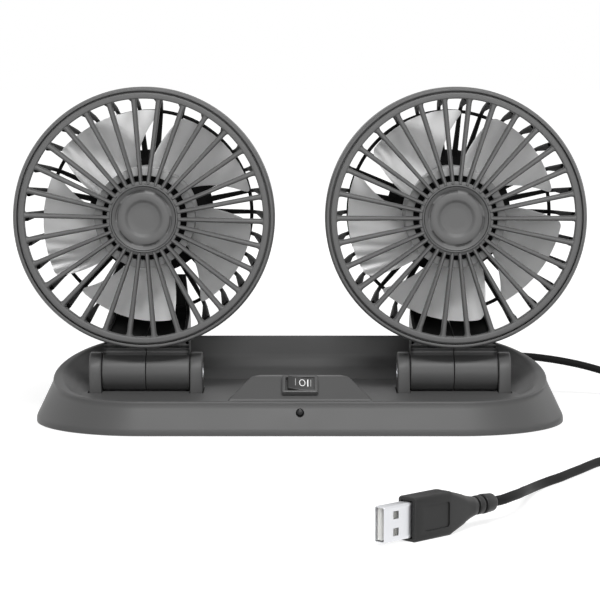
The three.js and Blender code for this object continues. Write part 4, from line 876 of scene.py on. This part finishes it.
ring_edge = seam_radius - hair
ring_section = rounded([(grille_radius, -grille_proud), (ring_edge, -grille_proud), (ring_edge, grille_back),
                        (grille_radius, grille_back)], [0.0007, 0.0007, 0, 0.0003], 5)
flange_front, hub_floor = -0.0009, 0.0010
hub_section = rounded([(cap_radius + hair, -0.0019), (hub_lip, -0.0020), (hub_lip + 0.0002, flange_front),
                       (hub_radius, flange_front), (hub_radius, grille_back), (0, grille_back),
                       (0, hub_floor), (cap_radius + hair, hub_floor)],
                      [0.0003, 0.0004, 0.0002, 0.0008, 0.0004, 0, 0, 0], 5)
for name, side in sides.items():
    middle = side * half_pitch
    fins = [fin(middle, angle + fin_turn[name]) for angle in rib_angles]
    rings = [turned(section, (middle, fan_y, fan_z), 180) for section in (ring_section, hub_section)]
    as_object(f"{name}_grille", *combined(*rings, *fins), grey, f"head_{name}", (f"{name}_front_grille",),
              slot="grey_plastic")


# Hub cap: a round plastic cap, pressed into the hub of the grille.
# Six crescent grooves lie round its shallow dish.

face_line = [(0, 1.40), (6.7, 1.40), (6.9, 1.37), (7.1, 1.27), (7.9, 0.72), (8.2, 0.58), (8.6, 0.50),
             (9.6, 0.45), (10.6, 0.52), (11.3, 0.72), (11.8, 1.0), (12.1, 1.1), (12.4, 1.08), (13.4, 0.35),
             (13.7, 0.18), (13.9, 0.14)]  # radius and depth, in mm
face_radii, face_depths = np.array(face_line).T / 1000
groove_inner, groove_outer, groove_depth = 0.0114, 0.0124, 0.0009
groove_slopes = (0.0002, 0.0003)  # widths of its inner and outer wall
groove_count, groove_span, groove_turn = 6, radians(38), radians(46)
cap_front, cap_back = -0.0019, 0.0007
cap_steps = 240


def cap_depth(radius, angle):
    """How deep the cap's face lies under its rim."""
    lean = (angle - groove_turn + pi / groove_count) % (2 * pi / groove_count) - pi / groove_count
    along = np.clip(1 - (2 * lean / groove_span) ** 2, 0, 1) ** 0.5
    inside = np.clip((radius - groove_inner) / groove_slopes[0], 0, 1)
    outside = np.clip((groove_outer - radius) / groove_slopes[1], 0, 1)
    return float(np.interp(radius, face_radii, face_depths)) + groove_depth * inside * outside * along


def cap(middle):
    """The cap turned about its axis, with more rows of points where its face bends."""
    radii = np.concatenate([[0, 0.004], np.linspace(0.0068, 0.0088, 11), np.linspace(0.0092, 0.0113, 6),
                            np.linspace(groove_inner, groove_inner + groove_slopes[0], 3),
                            np.linspace(groove_inner + 0.0004, cap_radius, 14)])
    rings = []
    for angle in np.linspace(0, 2 * pi, cap_steps, endpoint=False):
        row = [(r, cap_front + cap_depth(r, angle)) for r in radii] + [(cap_radius, cap_back), (0, cap_back)]
        rings.append(np.array([polar(middle, r, d, angle) for r, d in row]))
    return np.concatenate(rings), grid_faces(cap_steps, len(rings[0]), wrap_rows=True)


for name, side in sides.items():
    as_object(f"{name}_cap", *cap(side * half_pitch), grey, f"head_{name}", (f"{name}_hub_cap",), sharp=60,
              slot="grey_plastic")


# Fan wheel: five cambered blades of pale plastic on a ring, with a black rotor can pressed into it.
# Each blade is a row of aerofoil sections, twisted from its root to its tip.

wheel_radius, wheel_front, wheel_back = 0.0222, 0.0049, 0.0365
wheel_lip = 0.0187  # inner radius of the wheel's front, ahead of the can
can_radius, can_front, can_back, can_wall, shaft_hole = 0.0196, 0.0090, 0.033, 0.0015, 0.0018
blade_tip, blade_thickness, blade_count = 0.047, 0.0015, 5
blade_sunk = 0.0006  # how far a blade's root goes into the ring
root_angles, tip_angles = (radians(32.5), radians(85)), (radians(11), radians(69.6))
blade_front, root_deep, tip_deep = 0.006, 0.034, 0.036
camber_share = 0.07
blade_shares = (*np.linspace(0, 0.9, 12), 0.93, 0.955, 0.975, 0.99, 1.0)
tip_start, tip_trim = 0.90, 0.05  # where a tip's corners start to round, and how much they lose
edge_share = 0.35  # of the thickness, left at the edges and at the tip


silver = finish_of("blade_plastic", "f8f8f8", 0.66, tone=0.04, depth=0.00001, specular=0.3)
# Painted shade: the wheel ring is the blades' pale plastic painted darker, for the shade it lies in behind the
# grille.
shaded_wheel_grey = finish_of("wheel_ring_plastic", "b4b4b4", 0.6, tone=0.05, depth=0.00001, specular=0.15)


def blade(middle, turn):
    """One blade: aerofoil sections round the axis, with the corners of its tip rounded off."""
    inner = wheel_radius - blade_sunk
    rings = []
    for share in blade_shares:
        radius = inner + (blade_tip - inner) * share
        start, end = (turn + root + (tip - root) * share for root, tip in zip(root_angles, tip_angles))
        deep = root_deep + (tip_deep - root_deep) * share
        chord = np.array([radius * (end - start), blade_front - deep])
        length = np.linalg.norm(chord)
        normal = np.array([-chord[1], chord[0]]) / length
        trim = tip_trim * (1 - sqrt(max(0, 1 - max(0, (share - tip_start) / (1 - tip_start)) ** 2)))
        upper, lower = [], []
        for s in (1 - np.cos(np.linspace(0, pi, 19))) / 2:
            u = trim + (1 - 2 * trim) * s
            bulge = 4 * u * (1 - u)
            thick = blade_thickness * (edge_share + (1 - edge_share) * bulge)
            thick *= sqrt(max(4 * s * (1 - s), 0)) ** 0.35 * min(1, edge_share + 4 * (1 - share))
            for offset, row in ((thick / 2, upper), (-thick / 2, lower)):
                arc, depth = np.array([radius * start, deep]) + chord * u + normal * (
                    camber_share * length * bulge + offset)
                row.append(polar(middle, radius, depth, arc / radius))
        rings.append(np.array(upper + lower[-2:0:-1]))
    return loft(rings)


wheel_section = rounded([(wheel_lip, wheel_front), (wheel_radius, wheel_front), (wheel_radius, wheel_back),
                         (can_radius + hair, wheel_back), (can_radius + hair, can_front - hair),
                         (wheel_lip, can_front - hair)], [0.0002, 0.0004, 0.0004, 0.0002, 0.0002, 0.0002], 4)
can_section = rounded([(shaft_hole, can_front), (can_radius, can_front), (can_radius, can_back),
                       (can_radius - can_wall, can_back), (can_radius - can_wall, can_front + can_wall),
                       (shaft_hole, can_front + can_wall)], [0, 0.0012, 0, 0, 0.0008, 0], 4)
for name, side in sides.items():
    middle = side * half_pitch
    axis_point, body = (middle, fan_y, fan_z), f"rotor_{name}"
    blades = combined(*(blade(middle, 2 * pi * k / blade_count) for k in range(blade_count)))
    as_object(f"{name}_blades", *blades, silver, body, (f"{name}_fan_wheel",), sharp=40, slot="blade_plastic")
    as_object(f"{name}_wheel_ring", *turned(wheel_section, axis_point, 120), shaded_wheel_grey, body,
              (f"{name}_fan_wheel",), sharp=40, slot="blade_plastic")
    as_object(f"{name}_can", *turned(can_section, axis_point, 96), black, body, (f"{name}_rotor_can",),
              slot="dark_plastic")


# Strain relief: a tapered sleeve of soft PVC with rings, held in the rear wall of the base.
# It is a section turned about the cord's own line.

sleeve = finish_of("cable_pvc", "1c1c1c", 0.45, scale=1400, specular=0.3)

relief_root_line = [(0, -0.0022), (0.0030, -0.0022), (0.0030, 0.0010), (0.0042, 0.0010), (0.0040, 0.0022),
                    (0.0030, 0.0024)]  # radius, distance
relief_rings, ring_start, ring_step, ring_width = 4, 0.0036, 0.0026, 0.0017
ring_radius, ring_taper, gap_radius, gap_taper = 0.0029, 0.00015, 0.0022, 0.00008
relief_points = list(relief_root_line)
for k in range(relief_rings):
    start, wide, narrow = ring_start + ring_step * k, ring_radius - ring_taper * k, gap_radius - gap_taper * k
    relief_points += [(wide, start), (wide, start + ring_width), (narrow, start + ring_width + 0.0001),
                      (narrow, start + ring_step - 0.0001)]
relief_points += [(0.0023, relief_length), (0, relief_length)]
relief = as_object("cord_relief", *turned(rounded(relief_points, 0.0002, 2), relief_root, 64, relief_out),
                   sleeve, "base", ("cable_strain_relief",), slot="cable_plastic")


# Plug: a USB plug with a grip moulded over its folded steel shell.
# A shallow panel is sunk in each broad side of the grip, and a ringed relief takes up the bend.

grip_height, grip_thickness, grip_length, taper_length = 0.015, 0.008, 0.018, 0.0095
grip_end = grip_length + taper_length
grip_lines = [  # distance, thickness, height and corner of each section
    (0, grip_thickness - 0.0010, grip_height - 0.0010, 0.0010),
    (0.0002, grip_thickness - 0.0004, grip_height - 0.0004, 0.0012),
    (0.0007, grip_thickness, grip_height, 0.0014),
    (grip_length - 0.0006, grip_thickness, grip_height, 0.0014),
    (grip_length + 0.0001, grip_thickness * 0.995, grip_height * 0.99, 0.0014),
    (grip_length + 0.0008, grip_thickness * 0.985, grip_height * 0.955, 0.0015),
    (grip_end - 0.0022, 0.0072, 0.0106, 0.0022), (grip_end - 0.0008, 0.0069, 0.0096, 0.0026),
    (grip_end + 0.0012, 0.0066, 0.0084, 0.0029), (grip_end + 0.0034, 0.0064, 0.0073, 0.0030),
    (grip_end + 0.0054, 0.0062, 0.0065, 0.0030), (grip_end + 0.0058, 0.0056, 0.0058, 0.0027),
]
neck_radius = 0.0022
neck_rings = ((0.0066, 0.0027, 0.0033, 0.0033), (0.0101, 0.0052, 0.0035, 0.0031))  # start, width, two radii
panel_start, panel_length, panel_height, panel_depth = 0.0045, 0.0125, 0.0086, 0.0004
shell_width, shell_height, shell_out, shell_in, shell_metal = 0.012, 0.0045, 0.013, 0.005, 0.00035
hole_side, hole_back, hole_apart, hole_reach = 0.0026, 0.0055, 0.0056, 0.004
socket_front = -0.001
contact_lines = ((-0.0035, 0.0113), (-0.0010, 0.0103), (0.0010, 0.0103), (0.0035, 0.0113))  # height, reach
contact_end, contact_half, contact_metal = -0.002, 0.0006, 0.00012
tongue_thickness = 0.0018

plug_frame = Matrix.Translation(plug_corner) @ Matrix.Rotation(plug_turn, 4, "Z")


steel = finish_of("plated_steel", "d4d5d8", 0.3, metal=1.0, tone=0.1, variation=0.3, scale=1800,
                  depth=0.00001)
gold = finish_of("gold_contact", "d9b45a", 0.3, metal=1.0, tone=0.1, scale=1800, depth=0.000005)


def plug_section(x, thickness, height, radius):
    """A rounded rectangle across the plug's axis."""
    outline = rectangle(thickness, height, min(radius, thickness * 0.48), 6)
    return np.array([(x, y, z) for y, z in outline])


def plug_relief():
    """The round neck behind the grip, with its two rings."""
    section = [(0, grip_end), (neck_radius, grip_end)]
    for at, wide, first, last in neck_rings:
        start, end = grip_end + at, grip_end + at + wide
        section += [(neck_radius, start), (first, start), (last, end), (neck_radius, end)]
    section += [(0.0019, plug_length - 0.0002), (0.00178, plug_length), (0, plug_length)]
    return turned(rounded(section, 0.0008, 4), plug_corner, 64, plug_back)


def steel_shell():
    """The shell's outside and inside, open at its front."""
    inner_height, inner_width = shell_height - 2 * shell_metal, shell_width - 2 * shell_metal
    rings = [plug_section(-shell_out, shell_height - 0.0002, shell_width - 0.0002, 0.0007),
             plug_section(-shell_out + 0.0002, shell_height, shell_width, 0.0008),
             plug_section(shell_in, shell_height, shell_width, 0.0008),
             plug_section(shell_in, inner_height, inner_width, 0.0005),
             plug_section(-shell_out, inner_height, inner_width, 0.0005)]
    return np.concatenate(rings), grid_faces(len(rings), len(rings[0]), wrap_rows=True)


def panel(way):
    """The cutter of the grip's shallow panel on one broad side."""
    line = rectangle(panel_length, panel_height, 0.0012, 5) + (panel_start + panel_length / 2, 0)
    return loft([np.array([(x, way * (grip_thickness / 2 + lift), z) for x, z in line])
                 for lift in (-panel_depth, cutter_past)])


def shell_hole(way):
    """The cutter of one square hole through both broad sides of the shell."""
    middle = np.array((-shell_out + hole_back, 0, way * hole_apart / 2))
    reach = np.array((hole_side / 2, hole_reach, hole_side / 2))
    return box(middle - reach, middle + reach)


def contact(height, reach):
    """One flat contact on the tongue's inner face."""
    face = shell_height / 2 - shell_metal - hair / 3 - tongue_thickness
    strip = rounded([(-reach, face), (contact_end, face), (contact_end, face - contact_metal),
                     (-reach, face - contact_metal)], 0.00005, 2)
    return loft([np.array([(x, y, height + half) for x, y in strip])
                 for half in (-contact_half, contact_half)])


socket = box((socket_front, -shell_height / 2 - hair, -shell_width / 2 - hair),
             (shell_in + hair, shell_height / 2 + hair, shell_width / 2 + hair))
grip = placed(loft([plug_section(*line) for line in grip_lines]), plug_frame)
plug_body = as_object("usb_grip", *grip, sleeve, "base", ("plug_grip",), slot="cable_plastic")
cut_away(plug_body, *(placed(cutter, plug_frame) for cutter in (panel(-1), panel(1), socket)))
plug_sleeve = as_object("usb_relief", *plug_relief(), sleeve, "base", ("plug_grip",), slot="cable_plastic")
shell = as_object("usb_shell", *placed(steel_shell(), plug_frame), steel, "base", ("plug_shell",),
                  slot="steel")
cut_away(shell, *(placed(shell_hole(way), plug_frame) for way in (-1, 1)))
contacts = combined(*(placed(contact(*line), plug_frame) for line in contact_lines))
contact_set = as_object("usb_contacts", *contacts, gold, "base", slot="steel")


# Inner and lower pieces: the motors, board, hinge screws, bottom cover and feet, shown as CAD solids.
# Every CAD node gets a finish here, also those that a better shape stands for.

white_mould = finish_of("white_moulding", "e4e4e0", 0.5, tone=0.05)
copper = finish_of("copper_winding", "a5602f", 0.35, metal=1.0, tone=0.4, scale=900, depth=0.0001)
rubber = finish_of("foot_rubber", "202020", 0.85, tone=0.4, scale=1500, depth=0.00004)
board = finish_of("circuit_board", "1f5a38", 0.45, tone=0.3, scale=700, coat=0.3)

finishes = {
    "grey_plastic": grey, "dark_plastic": black, "blade_plastic": silver, "cable_plastic": sleeve,
    "switch_plastic": gloss, "steel": steel, "copper": copper, "foot_rubber": rubber, "board": board,
    "lamp": smoked, "tongue_plastic": white_mould,
}
for part in frame["record"]["subparts"]:
    for material_slot in frame["nodes"][part["node"]].material_slots:
        material_slot.material = finishes[part["material_slot"]]


# Stage: a white floor and soft studio light, most of it a wide strip above the front

floor_reach = 30
floor_glow = {"From Min": 0.35, "From Max": 1.1, "To Min": 0.78, "To Max": 1.0}  # full white far away only
ambient_strength = 0.16
lights = {  # place, aim, width, height, watts
    "key_light": ((0.12, -1.2, 1.45), (0, 0, 0.07), 1.3, 0.25, 30),
    "front_light": ((0.2, -2.3, 0.5), (0, 0, 0.09), 1.2, 0.9, 15),
    "left_light": ((-1.7, 0.8, 0.6), (0, 0, 0.07), 1.2, 1.2, 2.5),
    "right_light": ((1.7, 0.8, 0.6), (0, 0, 0.07), 1.2, 1.2, 4),
}


def background_rays(tree):
    """A value of 1 for the rays that may see a white background: those of the camera, and reflected ones."""
    path = tree.nodes.new("ShaderNodeLightPath").outputs
    seen = maths(tree, "MAXIMUM", path["Is Camera Ray"], path["Is Glossy Ray"])
    return maths(tree, "MAXIMUM", seen, path["Is Transmission Ray"])


def white_floor():
    """A pale floor that keeps the object's shadow, and glows for the rays that may see the background."""
    paint = finish_of("studio_floor", "b4b4b4", 0.9, tone=0.02, depth=0.0, specular=0.0)
    tree = paint.node_tree
    shader = tree.nodes["Principled BSDF"].inputs
    place, distance = tree.nodes.new("ShaderNodeTexCoord"), tree.nodes.new("ShaderNodeVectorMath")
    distance.operation = "LENGTH"
    glow = tree.nodes.new("ShaderNodeMapRange")
    glow.interpolation_type = "SMOOTHSTEP"
    for socket, value in floor_glow.items():
        glow.inputs[socket].default_value = value
    tree.links.new(place.outputs["Object"], distance.inputs[0])
    tree.links.new(distance.outputs["Value"], glow.inputs["Value"])
    seen_glow = maths(tree, "MULTIPLY", glow.outputs["Result"], background_rays(tree))
    tree.links.new(seen_glow, shader["Emission Strength"])
    shader["Emission Color"].default_value = (1, 1, 1, 1)
    corners = np.array([(-1, -1, 0), (1, -1, 0), (1, 1, 0), (-1, 1, 0)]) * floor_reach
    return as_object("studio_floor", corners, [(0, 1, 2, 3)], paint, None)


floor = white_floor()

for name, (place, aim, width, height, watts) in lights.items():
    light = bpy.data.lights.new(name, "AREA")
    light.shape = "RECTANGLE"
    light.size, light.size_y = width, height
    light.energy = watts
    softbox = bpy.data.objects.new(name, light)
    softbox.location = place
    softbox.rotation_euler = (Vector(aim) - Vector(place)).to_track_quat("-Z", "Y").to_euler()
    bpy.context.collection.objects.link(softbox)

sky = bpy.data.worlds.new("studio")
sky.use_nodes = True
sky_nodes, sky_links = sky.node_tree.nodes, sky.node_tree.links
ambient, backdrop = sky_nodes["Background"], sky_nodes.new("ShaderNodeBackground")
either = sky_nodes.new("ShaderNodeMixShader")
for source, strength, socket in ((ambient, ambient_strength, 1), (backdrop, 1, 2)):
    source.inputs["Color"].default_value = (1, 1, 1, 1)
    source.inputs["Strength"].default_value = strength
    sky_links.new(source.outputs[0], either.inputs[socket])
sky_links.new(background_rays(sky.node_tree), either.inputs["Fac"])
sky_links.new(either.outputs[0], sky_nodes["World Output"].inputs["Surface"])
bpy.context.scene.world = sky
bpy.context.scene.view_settings.view_transform = "Standard"
